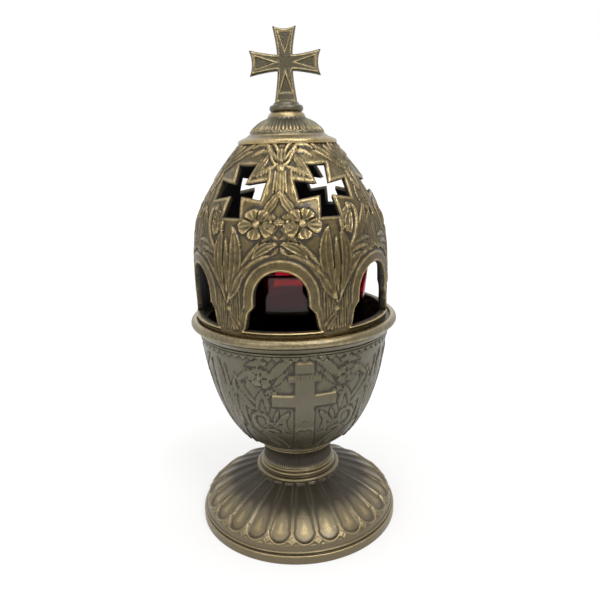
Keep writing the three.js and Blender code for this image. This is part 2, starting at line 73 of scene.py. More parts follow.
# %% [markdown]
# ## From numbers to a mesh
# A turned piece is a stack of rings. Two neighbouring rings of equal count are joined by quads.
# The relief on the outside needs hundreds of points a ring and the plain inside only some dozens,
# so a ring may also meet one with a whole number of times fewer points, by a fan of triangles.
# A ring of one point is a pole. Each ring is listed with azimuth growing, and the profile runs
# up the outside and down the inside, which makes all faces point outwards.


# %% Rings to faces
def join_rings(first, count, second, other):
    """Faces between a ring of `count` points from index `first` and the next ring of `other` points.
    Each side of the fuller ring goes to the nearest point of the other one, and one more triangle
    fills each gap where that nearest point changes."""
    wide, few = max(count, other), min(count, other)
    step = wide // few
    i, k = np.arange(wide), np.arange(few)
    i_next, k_next = (i + 1) % wide, (k + 1) % few
    if count == other:
        return np.stack([first + i, first + i_next, second + i_next, second + i], 1).tolist()
    nearest = ((i + step // 2) // step) % few
    change = (k * step + step - step // 2) % wide
    if count > other:
        fans = np.stack([first + i, first + i_next, second + nearest], 1)
        gaps = np.stack([first + change, second + k_next, second + k], 1)
    else:
        fans = np.stack([first + nearest, second + i_next, second + i], 1)
        gaps = np.stack([first + k, first + k_next, second + change], 1)
    return fans.tolist() + (gaps.tolist() if few > 1 else [])


def stack_rings(rings, closed):
    """Points and faces of a list of rings. A closed profile also joins its last ring to its first."""
    counts = [len(ring) for ring in rings]
    starts = np.concatenate([[0], np.cumsum(counts)])
    faces = []
    for i in range(len(rings) if closed else len(rings) - 1):
        j = (i + 1) % len(rings)
        faces += join_rings(starts[i], counts[i], starts[j], counts[j])
    return np.concatenate(rings), faces


def capped(rings):
    """Points and faces of a stack of rings whose first and last ring are closed by flat lids."""
    points, faces = stack_rings(rings, closed=False)
    first = np.arange(len(rings[0]))
    last = len(points) - len(rings[-1]) + np.arange(len(rings[-1]))
    return points, faces + [first[::-1].tolist(), last.tolist()]


print("a ring of 12 points meets one of 4 by", len(join_rings(0, 12, 12, 4)), "triangles")

# %% [markdown]
# Blender takes a mesh as lists of points and faces. The numbers that a material needs at each
# point, such as wear, go along as attributes.


# %% Meshes and attributes
def new_object(name, data):
    """An object of the scene that shows a mesh, a lamp or a camera."""
    made = bpy.data.objects.new(name, data)
    bpy.context.scene.collection.objects.link(made)
    return made


def give_values(mesh, values):
    """Gives a mesh attributes with one number a point, from a table of names and numbers."""
    for key, numbers in values.items():
        attribute = mesh.attributes.new(key, "FLOAT", "POINT")
        attribute.data.foreach_set("value", np.asarray(numbers, np.float32))


def mesh_object(name, points, faces, values=None):
    """A smooth-shaded object from points in mm, with attributes from `values`."""
    mesh = bpy.data.meshes.new(name)
    mesh.from_pydata((np.asarray(points, float) * MM).tolist(), [], faces)
    give_values(mesh, values or {})
    mesh.validate()
    mesh.shade_smooth()
    return new_object(name, mesh)


print("pieces will stand for", len(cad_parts), "nodes of the frame")

# %% [markdown]
# ## Profiles
# A profile is a row of (radius, height) points. Founders draw it with straight lines and easy
# curves, so it is written as stretches: one more point makes a straight line, two a quadratic
# curve and three a cubic one, each starting where the last one ended.


# %% Profile tools
def trace(start, *stretches, spacing=0.5):
    """Bezier stretches from `start`, each sampled evenly in its parameter about every `spacing` mm."""
    points = [np.array([start], float)]
    for stretch in stretches:
        control = np.concatenate([points[-1][-1:], np.array(stretch, float).reshape(-1, 2)])
        length = np.linalg.norm(np.diff(control, axis=0), axis=1).sum()
        t = np.linspace(0, 1, max(1, math.ceil(length / spacing)) + 1)[1:, None]
        n = len(control) - 1
        weights = [math.comb(n, k) * t**k * (1 - t) ** (n - k) for k in range(n + 1)]
        points.append(sum(w * c for w, c in zip(weights, control)))
    return np.concatenate(points)


def from_corner(radius, height, *stretches):
    """Stretches whose points are given as distances from a corner: each point plus the corner."""
    return [[(radius + x, height + y) for x, y in stretch] for stretch in stretches]


def joined(first, *others):
    """One path of several, each of which starts at the last point of the one before it."""
    return np.concatenate([first] + [other[1:] for other in others])


def lengths_along(path):
    """Running length of a path: the distances between neighbouring points, added up."""
    return np.concatenate([[0], np.cumsum(np.linalg.norm(np.diff(path, axis=0), axis=1))])


def outward(path):
    """Unit normals of a profile: its tangent turned a quarter clockwise, away from the axis on the way up."""
    tangent = np.gradient(path, axis=0)
    normal = np.stack([tangent[:, 1], -tangent[:, 0]], 1)
    return normal / np.linalg.norm(normal, axis=1, keepdims=True)


def turned(path, azimuths, raised=0.0, axis=(0, 0)):
    """Rings of a profile turned about a vertical axis, moved out along its normals by `raised`:
    x = r sin(a), y = -r cos(a), with r and z of each row shifted by raised times the row's normal."""
    normal = outward(path)
    shape = (len(path), len(azimuths))
    raised = np.broadcast_to(raised, shape)
    r = path[:, :1] + raised * normal[:, :1]
    z = path[:, 1:] + raised * normal[:, 1:]
    a = azimuths[None, :] * DEGREE
    return np.stack([axis[0] + r * np.sin(a), axis[1] - r * np.cos(a), np.broadcast_to(z, shape)], 2)


def around(count, turn=0.0):
    """Evenly spaced azimuths of a whole ring, in degrees, from `turn` on."""
    return turn + np.arange(count) * 360 / count


print("a 10 mm line is traced by", len(trace((0, 0), [(10, 0)])), "points")

# %% [markdown]
# ## Easy curves
# Relief and wear are sums and products of a few curves: a step, a plateau, a bell and a round
# bulge. Each takes a whole array at once.


# %% Easy curves
def smooth_step(low, high, x):
    """0 below low, 1 above high, and an easy cubic between. With low above high it falls instead."""
    t = np.clip((x - low) / (high - low), 0, 1)
    return t * t * (3 - 2 * t)


def plateau(start, full, last, end, x):
    """0 up to start, 1 from full to last, and 0 again from end: one step up times one step down."""
    return smooth_step(start, full, x) * smooth_step(end, last, x)


def bell(x, width):
    """A bump of height 1 at x = 0 that falls to a third at `width`: exp(-(x / width)^2)."""
    return np.exp(-((x / width) ** 2))


def bulge(share):
    """A round cross-section: sqrt(1 - share^2), where share goes from 0 in the middle to 1 at the edge."""
    return np.sqrt(np.clip(1 - share**2, 0, 1))


print("a bell falls to", bell(1, 1).round(2), "at its width and to", bell(2, 1).round(2), "at twice that")

# %% [markdown]
# ## Relief
# The ornament is worked like clay on a flat sheet that is later wrapped round the casting. The
# sheet is a grid of azimuth against length along the profile. The castings repeat: a motif and its
# mirror image fill one period, so the sheet covers half a period and is folded out afterwards.
#
# Leaves, petals, stems and scrolls are all a blade carried along a curved spine: for each grid
# point the nearest place on the spine gives t, how far along it is, and d, how far to its side.
# Width and cross-section are then functions of t and d. Each new blade covers what is under it,
# and a thin groove sinks round its edge, as a chaser's tool leaves it.


# %% The sheet of clay
SPINE_SAMPLES = 14
GROOVE_WIDTH, GROOVE_REACH = 0.42, 1.4


class Sheet:
    """Heights in mm over half a period of a turned profile."""

    def __init__(self, path, period, columns):
        self.path, self.period, self.columns = path, period, columns
        self.half_columns = round(columns * period / 720)
        self.angle = np.linspace(0, period / 2, self.half_columns + 1)[None, :]
        self.scale = path[:, :1] * DEGREE
        self.across = self.angle * self.scale
        self.length = lengths_along(path)[:, None]
        self.z = path[:, 1:]
        self.up = np.zeros((len(path), self.half_columns + 1))

    def length_at(self, height):
        """Length along the profile at a height, for the stretch where the profile rises."""
        return np.interp(height, self.path[:, 1], self.length[:, 0])

    def offsets(self, angle, height):
        """Distances in mm of all grid points from a place on the sheet: across and along."""
        return (self.angle - angle) * self.scale, self.length - self.length_at(height)

    def follow(self, spine):
        """t and signed side distance d of each grid point, for a Bezier spine of (azimuth, height)
        points. For each short piece of it, u is how far along the piece the nearest place lies,
        and the piece with the smallest gap wins."""
        span = np.linalg.norm(np.diff(np.array(spine, float), axis=0), axis=1).sum()
        curve = trace(spine[0], spine[1:], spacing=span / SPINE_SAMPLES)
        along = self.length_at(curve[:, 1])
        middle = np.interp(curve[:, 1].mean(), self.path[:, 1], self.scale[:, 0])
        steps = np.hypot(np.diff(curve[:, 0]) * middle, np.diff(along))
        reached = np.concatenate([[0], np.cumsum(steps)])
        best = np.full(self.up.shape, np.inf)
        t, side = np.zeros(self.up.shape), np.zeros(self.up.shape)
        for i in range(len(curve) - 1):
            run_x, run_y = (curve[i + 1, 0] - curve[i, 0]) * self.scale, along[i + 1] - along[i]
            x, y = (self.angle - curve[i, 0]) * self.scale, self.length - along[i]
            u = np.clip((x * run_x + y * run_y) / (run_x**2 + run_y**2 + 1e-9), 0, 1)
            gap = np.hypot(x - u * run_x, y - u * run_y)
            nearer = gap < best
            best = np.where(nearer, gap, best)
            side = np.where(nearer, np.where(run_x * y < run_y * x, -1.0, 1.0), side)
            t = np.where(nearer, (reached[i] + u * steps[i]) / reached[-1], t)
        return t, best * side

    def cover(self, value, edge, groove):
        """Lays a motif on the sheet and sinks a groove round it. `edge` is the distance in mm
        outside the motif, negative inside it."""
        sunk = self.up - groove * bell(np.maximum(edge, 0), GROOVE_WIDTH)
        self.up = np.where(edge < 0, value, np.where(edge < GROOVE_REACH, sunk, self.up))

    def blade(self, kind, width, rise, widest, spine, groove=0.38):
        """A leaf, petal or round tendril along a spine. The half width is sin(pi t^p) to a power,
        with p set so that it peaks at `widest`; a tendril keeps its width and has round ends."""
        t, d = self.follow(spine)
        if kind == "tendril":
            half = np.full(t.shape, width / 2)
        else:
            p = math.log(0.5) / math.log(widest)
            fullness = 0.65 if kind == "petal" else 0.8
            half = width / 2 * np.maximum(np.sin(math.pi * np.clip(t, 0, 1) ** p), 0) ** fullness
        share = np.abs(d) / np.maximum(half, 1e-3)
        edge = np.abs(d) - half
        if kind == "leaf" and width >= 3:
            value = 0.25 + 0.65 * bell(edge + 0.35, 0.38) + 0.6 * bell(d, 0.32)
        elif kind == "leaf":
            value = 0.3 + 0.7 * (1 - share)
        elif kind == "petal":
            ribs = 0.22 * np.cos(share * 9.0) * smooth_step(0.1, 0.4, t)
            value = 0.35 + 0.5 * smooth_step(0.1, 0.9, t) + ribs + 0.3 * bell(edge + 0.4, 0.35)
        else:
            value = bulge(share)
        self.cover(rise * value, edge, groove)

    def lay(self, *rows):
        """Blades in the order given, the later ones over the earlier ones. A row is a kind, a width,
        a rise, where along it the blade is widest, and its spine's points."""
        for kind, width, rise, widest, *spine in rows:
            self.blade(kind, width, rise, widest, spine)

    def ball(self, angle, height, radius, rise):
        """A round boss: `rise` times a bulge of the distance from its middle."""
        gap = np.hypot(*self.offsets(angle, height))
        self.cover(rise * bulge(gap / radius), gap - radius, 0.25)

    def flower(self, angle, height, radius, turn, rise):
        """Five petals round a beaded heart. Each petal is a blade from the heart outwards, at
        angle + r cos(a), height + r sin(a)."""
        scale = np.interp(height, self.path[:, 1], self.scale[:, 0])
        for k in range(5):
            a = (turn + k * 72) * DEGREE
            near, far = 0.15 * radius, radius * (1 + 0.12 * math.cos(2.4 * k + 2.2))
            places = (near, (near + far) / 2, far)
            spine = [(angle + r * math.cos(a) / scale, height + r * math.sin(a) * 0.96) for r in places]
            self.blade("petal", radius * 0.86, rise, 0.66, spine, 0.45)
        self.ball(angle, height, radius * 0.24, rise * 1.15)

    def unfold(self, values=None):
        """The sheet's heights, or other values on it, for every column of the whole ring."""
        place = np.arange(self.columns) % (2 * self.half_columns)
        mirrored = np.minimum(place, 2 * self.half_columns - place)
        return (self.up if values is None else values)[:, mirrored]


print("a spine is followed in about", SPINE_SAMPLES, "short pieces")

# %% [markdown]
# ## Wear
# Old bronze is dark in its hollows and bright on its ridges. What counts is how high a point lies
# over its surroundings, so the relief is compared with a blurred copy of itself. The result is kept
# as an attribute of each point, because a shader can't see a neighbour's height.


# %% Wear
BLUR = 3


def averaged(grid, axis, ends):
    """A grid's moving average along an axis, with Gaussian weights of deviation BLUR. `ends` is wrap
    for a grid that closes on itself and edge for one that stops."""
    x = np.arange(-3 * BLUR, 3 * BLUR + 1)
    weights = np.exp(-((x / BLUR) ** 2) / 2)
    margins = [(0, 0), (0, 0)]
    margins[axis] = (3 * BLUR, 3 * BLUR)
    padded = np.pad(grid, margins, ends)
    count = grid.shape[axis]
    return sum(w * padded.take(range(i, i + count), axis) for i, w in enumerate(weights / weights.sum()))


def wear_of(sheet, rubbed=1.0, sunk=1.0):
    """0 in the recesses where patina stays, 1 on the ridges that hands rub: 0.5 plus a gain times the
    height in mm over the surroundings, counting both the relief and the profile's own ridges. Ridges
    take the gain `rubbed` and recesses `sunk`."""
    relief, path = sheet.unfold(), sheet.path
    surroundings = averaged(averaged(relief, 1, "wrap"), 0, "edge")
    own_ridges = ((path - averaged(path, 0, "edge")) * outward(path)).sum(1, keepdims=True)
    high = relief - surroundings + own_ridges
    return np.clip(0.5 + np.where(high > 0, rubbed, sunk) * high, 0, 1)


print("wear looks", 3 * BLUR, "points to each side")

# %% [markdown]
# Every casting but the cross is a shell: the worked sheet outside and a plain lining inside, joined
# into one closed skin. Linings are coloured near-black, so a second attribute says where they are.


# %% Shells and skins
def shell(sheet, lining, few, turn=0.0, axis=(0, 0)):
    """Points and faces of a hollow casting: the sheet's relief outside, and inside it a plain lining
    with `few` points a ring."""
    outside = turned(sheet.path, around(sheet.columns, turn), sheet.unfold(), axis)
    inside = turned(lining, around(few, turn), 0.0, axis)
    return stack_rings(list(outside) + list(inside), closed=True)


def skins(wear, lining, few, worn, dark=1.0):
    """The shell's two attributes: its wear with painted light, which is `worn` on the lining, and how
    much of a lining's near-black colour it has, which is 0 outside and `dark` for each row inside."""
    inside = np.repeat(np.broadcast_to(dark, len(lining)), few)
    return {
        "wear": np.concatenate([wear.ravel(), np.full(inside.size, worn)]),
        "lining": np.concatenate([np.zeros(wear.size), inside]),
    }


print("skins hold", sorted(skins(np.zeros((2, 3)), np.zeros((2, 2)), 3, 0.3)))

# %% [markdown]
# ## Finishes
# The bronze is brass coloured metal under a brown patina. Patina lies in the recesses and is
# rubbed through on the ridges, which the wear attribute of each casting already knows. Shader
# maths reads best as plain expressions, so a small class lets sockets be added and multiplied.


# %% Shader tools
class Wire:
    """A socket's output. Operators on it add Math nodes."""

    def __init__(self, shader, socket):
        self.shader, self.socket = shader, socket

    def __add__(self, other):
        return self.shader.math("ADD", self, other)

    def __sub__(self, other):
        return self.shader.math("SUBTRACT", self, other)

    def __rsub__(self, other):
        return self.shader.math("SUBTRACT", other, self)

    def __mul__(self, other):
        return self.shader.math("MULTIPLY", self, other)

    __radd__ = __add__
    __rmul__ = __mul__


class Shader:
    """A material's or world's node tree."""

    def __init__(self, owner):
        owner.use_nodes = True
        self.owner, self.tree = owner, owner.node_tree
        self.tree.nodes.clear()

    def node(self, kind, settings=None, sockets=None, output=0):
        """Adds a node, applies its settings, then fills its sockets with values or wires."""
        made = self.tree.nodes.new(kind)
        for key, value in (settings or {}).items():
            setattr(made, key, value)
        for key, value in (sockets or {}).items():
            if isinstance(value, Wire):
                self.tree.links.new(value.socket, made.inputs[key])
            else:
                made.inputs[key].default_value = value
        return Wire(self, made.outputs[output]) if made.outputs else made

    def math(self, operation, first, second):
        """A Math node on two values."""
        return self.node("ShaderNodeMath", {"operation": operation}, {0: first, 1: second})

    def attribute(self, name):
        """A number that the mesh keeps at each point."""
        return self.node("ShaderNodeAttribute", {"attribute_name": name}, output="Fac")

    def place(self):
        """Where a point lies in its object's own frame, in metres."""
        return self.node("ShaderNodeTexCoord", output="Object")

    def noise(self, scale, detail, roughness=0.6):
        """Noise from 0 to 1. The scale counts features a metre."""
        sockets = {"Vector": self.place(), "Scale": scale, "Detail": detail, "Roughness": roughness}
        return self.node("ShaderNodeTexNoise", {}, sockets)

    def step(self, low, high, value):
        """An easy step of a value from 0 at low to 1 at high."""
        sockets = {"Value": value, "From Min": low, "From Max": high}
        return self.node("ShaderNodeMapRange", {"interpolation_type": "SMOOTHSTEP"}, sockets)

    def mix(self, mask, first, second):
        """A blend of two colours: the first where the mask is 0, the second where it is 1."""
        return self.node("ShaderNodeMix", {"data_type": "RGBA"}, {0: mask, 6: first, 7: second}, output=2)

    def bump(self, height, strength, distance):
        """A normal that leans with the slope of a height, `distance` metres high from 0 to 1."""
        sockets = {"Height": height, "Strength": strength, "Distance": distance}
        return self.node("ShaderNodeBump", {}, sockets)

    def surface(self, sockets):
        """Ends the material in a Principled BSDF."""
        shader = self.node("ShaderNodeBsdfPrincipled", {}, sockets)
        self.node("ShaderNodeOutputMaterial", {}, {"Surface": shader})
        return self.owner


def material(name):
    """A new material's empty node tree."""
    return Shader(bpy.data.materials.new(name))


def rgb(red, green, blue):
    """A colour in linear light, fully opaque."""
    return (red, green, blue, 1.0)


print("shader tools for Blender", bpy.app.version_string)

# %% [markdown]
# ## Bronze
# The castings share one finish in four variants: the bowl is greyish and dull, the foot warmer, and
# the dome yellow and lacquered, with a hammered skin. Wear and three sizes of noise decide where the
# ground colour turns to rubbed metal or dark patina. Image textures could hold the same, but a
# formula on Object coordinates stays sharp from close by and needs no unwrapping.


# %% Bronze
DOME_GROUND = rgb(0.140, 0.105, 0.043)
BOWL_GROUND = rgb(0.124, 0.112, 0.070)
FOOT_GROUND = rgb(0.195, 0.158, 0.092)
BRONZE_RUBBED = rgb(0.480, 0.370, 0.185)
BRONZE_PATINA = rgb(0.032, 0.025, 0.014)
BRONZE_GREY = rgb(0.150, 0.136, 0.100)
LINING_DARK = rgb(0.012, 0.014, 0.018)


def bronze(name, ground, rubbed, greyness, hammered, coat):
    """Cast bronze. `rubbed` shifts the finish towards bright metal, `greyness` towards a cold patina,
    and `hammered` deepens the unevenness of its skin. `coat` is how much lacquer lies over it."""
    skin = material(name)
    # This attribute holds wear and also the painted highlights and painted shade that castings add to it.
    wear, lining = skin.attribute("wear"), skin.attribute("lining")
    fine, blotch, grain = skin.noise(2600, 3), skin.noise(55, 5), skin.noise(1100, 2)
    dimples, patches = skin.noise(420, 3), skin.noise(170, 3)
    worn = wear + (fine - 0.5) * 0.16 + (blotch - 0.5) * 0.16 + (dimples - 0.5) * hammered + rubbed
    worn = worn + (patches - 0.5) * 0.6 * hammered
    ridge, recess = skin.step(0.52, 0.92, worn), skin.step(0.46, 0.16, worn)
    colour = skin.mix(skin.step(0.38, 0.68, blotch) * greyness, ground, BRONZE_GREY)
    colour = skin.mix(ridge, colour, BRONZE_RUBBED)
    colour = skin.mix(recess * 0.92, colour, BRONZE_PATINA)
    return skin.surface({
        "Base Color": skin.mix(lining, colour, LINING_DARK),
        "Metallic": 1 - recess * 0.35 - lining * 0.6,
        "Roughness": 0.33 + (fine - 0.5) * 0.12 - ridge * 0.08 + recess * 0.22 + lining * 0.30,
        "Coat Weight": coat - lining * coat,
        "Coat Roughness": 0.3,
        "Normal": skin.bump(grain * 0.4 + fine * 0.3 + dimples * hammered * 1.2, 0.75, 0.0005),
    })


cast_bronze = bronze("cast_bronze", BOWL_GROUND, rubbed=-0.02, greyness=0.75, hammered=0.28, coat=0.6)
foot_bronze = bronze("foot_bronze", FOOT_GROUND, rubbed=0.02, greyness=0.25, hammered=0.1, coat=0.5)
bright_bronze = bronze("bright_bronze", DOME_GROUND, rubbed=-0.03, greyness=0.2, hammered=0.6, coat=0.4)
cap_bronze = bronze("cap_bronze", BOWL_GROUND, rubbed=0.05, greyness=0.6, hammered=0.3, coat=0.4)


def finish_piece(piece, body, node, finish):
    """Gives a piece its material, lets it ride on its body and stand for its CAD node."""
    piece.data.materials.append(finish)
    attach(piece, body)
    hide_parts(node)
    print(piece.name, sum(len(p.vertices) - 2 for p in piece.data.polygons), "triangles")


print("bronzes:", [finish.name for finish in (cast_bronze, foot_bronze, bright_bronze, cap_bronze)])

# %% [markdown]
# ## The foot
# A low bell with an upright ring, a plain band and 24 hollow flutes. Each flute is a long drop:
# round at its lower tip, narrowing with the bell and round again under the collar. A thin rim runs
# round it, and small beads fill the corner between two tips. Because the flutes are all alike,
# the sheet covers half of one flute, with its middle at azimuth 0 and the ridge at 7.5 degrees.

# %% Foot profile
FLUTES, FLUTE_COLUMNS = 24, 24
FLUTE_SHARE, TIP_SHARE, TIP_LIFT = 0.935, 0.99, 0.5
FOOT_TURN = 12.55
LINING_COUNT = 96
ring_top, flute_foot = 3.9, 8.65
flute_tip = foot_radius - 2.0
collar_radius, bore = 21.2, 3.3

foot_edge = trace(
    (foot_radius - 3.2, 0),
    *from_corner(foot_radius, 0, [(-0.4, 0)], [(0, 0), (0, 0.4)]),
    *from_corner(foot_radius, ring_top, [(0, -0.5)], [(0, 0.35), (-0.6, 0.5)], [(-1.35, 0.6)]),
    *from_corner(foot_radius, ring_top, [(-1.55, 1.0), (-1.35, 1.3)], [(-0.7, 1.6), (-1.2, 2.15)]),
    *from_corner(foot_radius, ring_top, [(-1.75, 2.3)]),
    spacing=0.28,
)
foot_band = trace(foot_edge[-1], [(foot_radius - 1.9, ring_top + 3.6), (flute_tip, flute_foot)], spacing=0.4)
bell_low, bell_high = (flute_tip - 5.1, flute_foot + 7.06), (collar_radius + 12.4, foot_top - 6.3)
foot_bell = trace(foot_band[-1], [bell_low, bell_high, (collar_radius + 1.2, foot_top - 2.1)], spacing=0.42)
foot_collar = trace(
    foot_bell[-1],
    *from_corner(collar_radius, foot_top, [(0.5, -2.15)], [(1.9, -2.1), (1.5, -0.05), (-0.2, -0.1)]),
    *from_corner(collar_radius, foot_top, [(-0.7, -0.3)], [(-1.2, -0.3), (-1.2, 0)]),
    spacing=0.28,
)
foot_sheet = Sheet(joined(foot_edge, foot_band, foot_bell, foot_collar), 360 / FLUTES, FLUTES * FLUTE_COLUMNS)
print("foot sheet", foot_sheet.up.shape)


# %% [markdown]
# A flute could be cut from the bell by a boolean with a long drop. Here it is sunk into the sheet
# by a formula instead, which keeps the rings whole and rounds its rim in the same step.


# %% Foot flutes
def drop_flutes(sheet, start, end, depth, rim):
    """Hollow flutes with a round lower tip that run out at the top. With x across and y up from the
    tip, the distance inside the outline is W(y) - |x|, and r - |(x, y - r)| in the tip, W being a
    flute's share of half the pitch. Returns a patch of 1 in the middle of each flute's lower half."""
    y = sheet.length - sheet.length[start] - TIP_LIFT
    total = sheet.length[end] - sheet.length[start] - TIP_LIFT
    half = sheet.period / 2 * sheet.scale * FLUTE_SHARE
    tip = half[start] * TIP_SHARE
    inside = half - np.abs(sheet.across)
    inside = np.where(y < tip, tip - np.hypot(sheet.across, np.minimum(y - tip, 0)), inside)
    share = np.clip(inside / half, 0, 1)
    hollow = depth * (half / half[start]) ** 0.75 * (1 - (1 - share) ** 2.2)
    crisp = 1 - 0.7 * smooth_step(tip, 2.6 * tip, y)
    edge = rim * bell(inside - 0.32, 0.46) * smooth_step(-1.5, 0.5, y) * crisp
    open_top = smooth_step(0.0, 0.8, total - y)
    keep = smooth_step(-2.0, 0.0, y) * open_top
    outside = edge * keep - 0.25 * smooth_step(0, -0.5, inside) * keep
    sheet.up = np.where(inside > 0, (edge - hollow) * open_top, outside)
    # The patch is where a painted highlight lightens each flute's lower half.
    return share**2 * bell(y - 1.5 * tip, 1.2 * tip)


flutes_start = len(foot_edge) + len(foot_band) - 2
foot_flute_highlight = drop_flutes(foot_sheet, flutes_start, len(foot_sheet.path) - len(foot_collar), 2.0, 0.42)
for aside, lift, size in ((0.0, 3.0, 0.8), (0.95, 1.9, 0.8), (0.0, 0.9, 0.6)):
    bead_x = (foot_sheet.angle - foot_sheet.period / 2) * foot_sheet.scale + aside
    bead_y = foot_sheet.length - foot_sheet.length[flutes_start] - lift
    gap = np.hypot(bead_x, bead_y * 0.8)
    foot_sheet.up = np.maximum(foot_sheet.up, 0.45 * bulge(gap / size) - (gap >= size))
print("foot relief from", foot_sheet.up.min().round(2), "to", foot_sheet.up.max().round(2), "mm")

# %% [markdown]
# The foot is hollow underneath: its lining runs from the bolt's hole out under the bell and down to
# the ring. Hands rub the lower bell evenly, so the wear that the relief gives is softened over the
# bell. The top lies in the neck's shade, painted by lowering the wear towards the collar, and a
# painted highlight lifts the wear in the lower half of each flute.

# %% Foot mesh
under_bell = [(collar_radius + 12, foot_top - 9.5), (flute_tip - 8, flute_foot + 4)]
foot_lining = trace(
    (collar_radius - 1.4, foot_top),
    [(bore, foot_top)],
    [(bore, foot_top - 5.5)],
    [(8, foot_top - 5.5)],
    [*under_bell, (foot_radius - 3.2, ring_top + 0.4)],
    spacing=4,
)
above_ring = foot_sheet.z - ring_top
foot_slope = plateau(flute_foot + 1, flute_foot + 9, foot_top - 2.5, foot_top - 1.5, foot_sheet.z)
foot_shade = plateau(flute_foot + 3.5, foot_top - 5, foot_top - 2.5, foot_top - 1.5, foot_sheet.z)
# Painted highlight lines on the ring's two ridges, and a dark line in the groove between them.
foot_ring_highlights_and_groove = 0.14 * bell(above_ring - 0.4, 0.3) - 0.3 * bell(above_ring - 1.0, 0.25)
# Painted shade darkens the top of the bell, and a painted highlight lightens each flute's lower half.
foot_wear_and_light = 0.5 + (wear_of(foot_sheet, 0.45, 0.9) - 0.5) * (1 - 0.75 * foot_slope) - 0.4 * foot_shade
foot_wear_and_light += 0.3 * foot_sheet.unfold(foot_flute_highlight) + foot_ring_highlights_and_groove + 0.14 * bell(above_ring - 1.75, 0.35)
foot = mesh_object(
    "foot_casting",
    *shell(foot_sheet, foot_lining, LINING_COUNT, FOOT_TURN),
    skins(foot_wear_and_light, foot_lining, LINING_COUNT, 0.3, 0.5),
)
finish_piece(foot, "stand", "foot", foot_bronze)

# %% [markdown]
# ## The neck
# A turned collar: two beads, a waist with fine upright reeds, and a double lip under the bowl. The
# reeds are a cosine round the waist that fades out towards beads and lip. The waist lies in the
# bowl's shade, which is painted by lowering its wear.

# %% Neck
REEDS, REED_COLUMNS = 96, 6
NECK_LINING_COUNT = 24
neck_bead, neck_waist = 20.0, 17.9
neck_lower = trace(
    (neck_bead - 0.8, neck_base),
    *from_corner(neck_bead, neck_base, [(0.45, 0.1), (0.45, 1.75), (-0.8, 1.9)], [(-1.05, 2.15)]),
    *from_corner(neck_bead, neck_base, [(-0.05, 2.25), (-0.05, 3.6), (-1.0, 3.75)], [(-1.25, 4.1)]),
    spacing=0.22,
)
waist_low, waist_high = (neck_waist - 0.5, neck_base + 6.7), (neck_waist - 0.3, neck_top - 5)
neck_middle = trace(neck_lower[-1], [waist_low, waist_high, (neck_bead - 0.9, neck_top - 2.5)], spacing=0.4)
neck_lip = trace(
    neck_middle[-1],
    *from_corner(neck_bead, neck_top, [(0.35, -2.45), (0.35, -1.35), (-0.5, -1.25)], [(-0.45, -1.1)]),
    [(neck_radius, neck_top - 1.05), (neck_radius, neck_top - 0.15), (neck_bead + 0.3, neck_top)],
    spacing=0.2,
)
neck_sheet = Sheet(joined(neck_lower, neck_middle, neck_lip), 360 / REEDS, REEDS * REED_COLUMNS)
reed = np.cos(neck_sheet.angle / (neck_sheet.period / 2) * math.pi)
reeded = plateau(neck_base + 4, neck_base + 5.2, neck_top - 3.6, neck_top - 2.4, neck_sheet.z)
neck_sheet.up = 0.24 * reed * reeded
# Painted shade: the wear of the waist is lowered where the bowl shades it.
neck_painted_shade = plateau(neck_base + 3.5, neck_base + 7, neck_top - 3.2, neck_top - 1.6, neck_sheet.z)
neck_lining = trace((bore, neck_top), [(bore, neck_base)], spacing=8)
neck = mesh_object(
    "neck_casting",
    *shell(neck_sheet, neck_lining, NECK_LINING_COUNT),
    skins(wear_of(neck_sheet, 1.2) - 0.65 * neck_painted_shade, neck_lining, NECK_LINING_COUNT, 0.3),
)
finish_piece(neck, "stand", "neck_collar", foot_bronze)

# %% [markdown]
# ## The bowl
# The bowl carries a Latin cross in low relief with a small beaded bar across it, flowers and
# ribbons beside its head, two big scrolls under its arms, and tall leaves on the flanks. A row of
# little shells hangs under the rim. The motif and its mirror image fill half the bowl, and the
# back repeats the front. The rim is two mouldings with a dark line between them and a round roll.

# %% Bowl profile
BOWL_COLUMNS, BOWL_PERIOD = 576, 180
bowl_radius, bowl_wall = 47.8, 3.0
bowl_mouth = bowl_base + 57.8
bowl_top = bowl_mouth + 11.8
rim_inner = rim_radius - 3.5
bowl_ring = trace(
    (20.2, bowl_base),
    [(21.5, bowl_base + 0.1), (21.6, bowl_base + 1.2), (20.9, bowl_base + 1.35)],
    [(20.7, bowl_base + 1.6)],
    spacing=0.25,
)
bowl_side = trace(
    bowl_ring[-1],
    [(31.6, bowl_base + 3.4), (43.6, bowl_base + 22.4), (bowl_radius, bowl_mouth)],
    spacing=0.63,
)
bowl_rim = trace(
    bowl_side[-1],
    *from_corner(bowl_radius, bowl_mouth, [(0.55, 2.8)], [(0.1, 3.1)], [(1.3, 3.2), (1.4, 4.2), (0.6, 4.35)]),
    *from_corner(bowl_radius, bowl_mouth, [(0.4, 4.65)], [(1.5, 4.85)], [(2.4, 5.9), (2.9, 7.1)]),
    *from_corner(bowl_radius, bowl_mouth, [(2.5, 7.4)], [(3.0, 7.6)]),
    *from_corner(rim_radius, bowl_mouth, [(-0.15, 7.7), (-0.05, 9.0)]),
    *from_corner(rim_radius, bowl_mouth, [(-0.05, 10.5), (-0.9, 11.7), (-2.5, 11.77)]),
    *from_corner(rim_inner, bowl_top, [(0.2, 0), (0, -0.8)]),
    spacing=0.6,
)
bowl_sheet = Sheet(joined(bowl_ring, bowl_side, bowl_rim), BOWL_PERIOD, BOWL_COLUMNS)
print("bowl sheet", bowl_sheet.up.shape)

# %% [markdown]
# The bowl's plants are laid from the flank towards the cross, each over what lies behind it. They
# are then pressed flatter, because the casting is worn: ridges lose half and grooves stay clear.

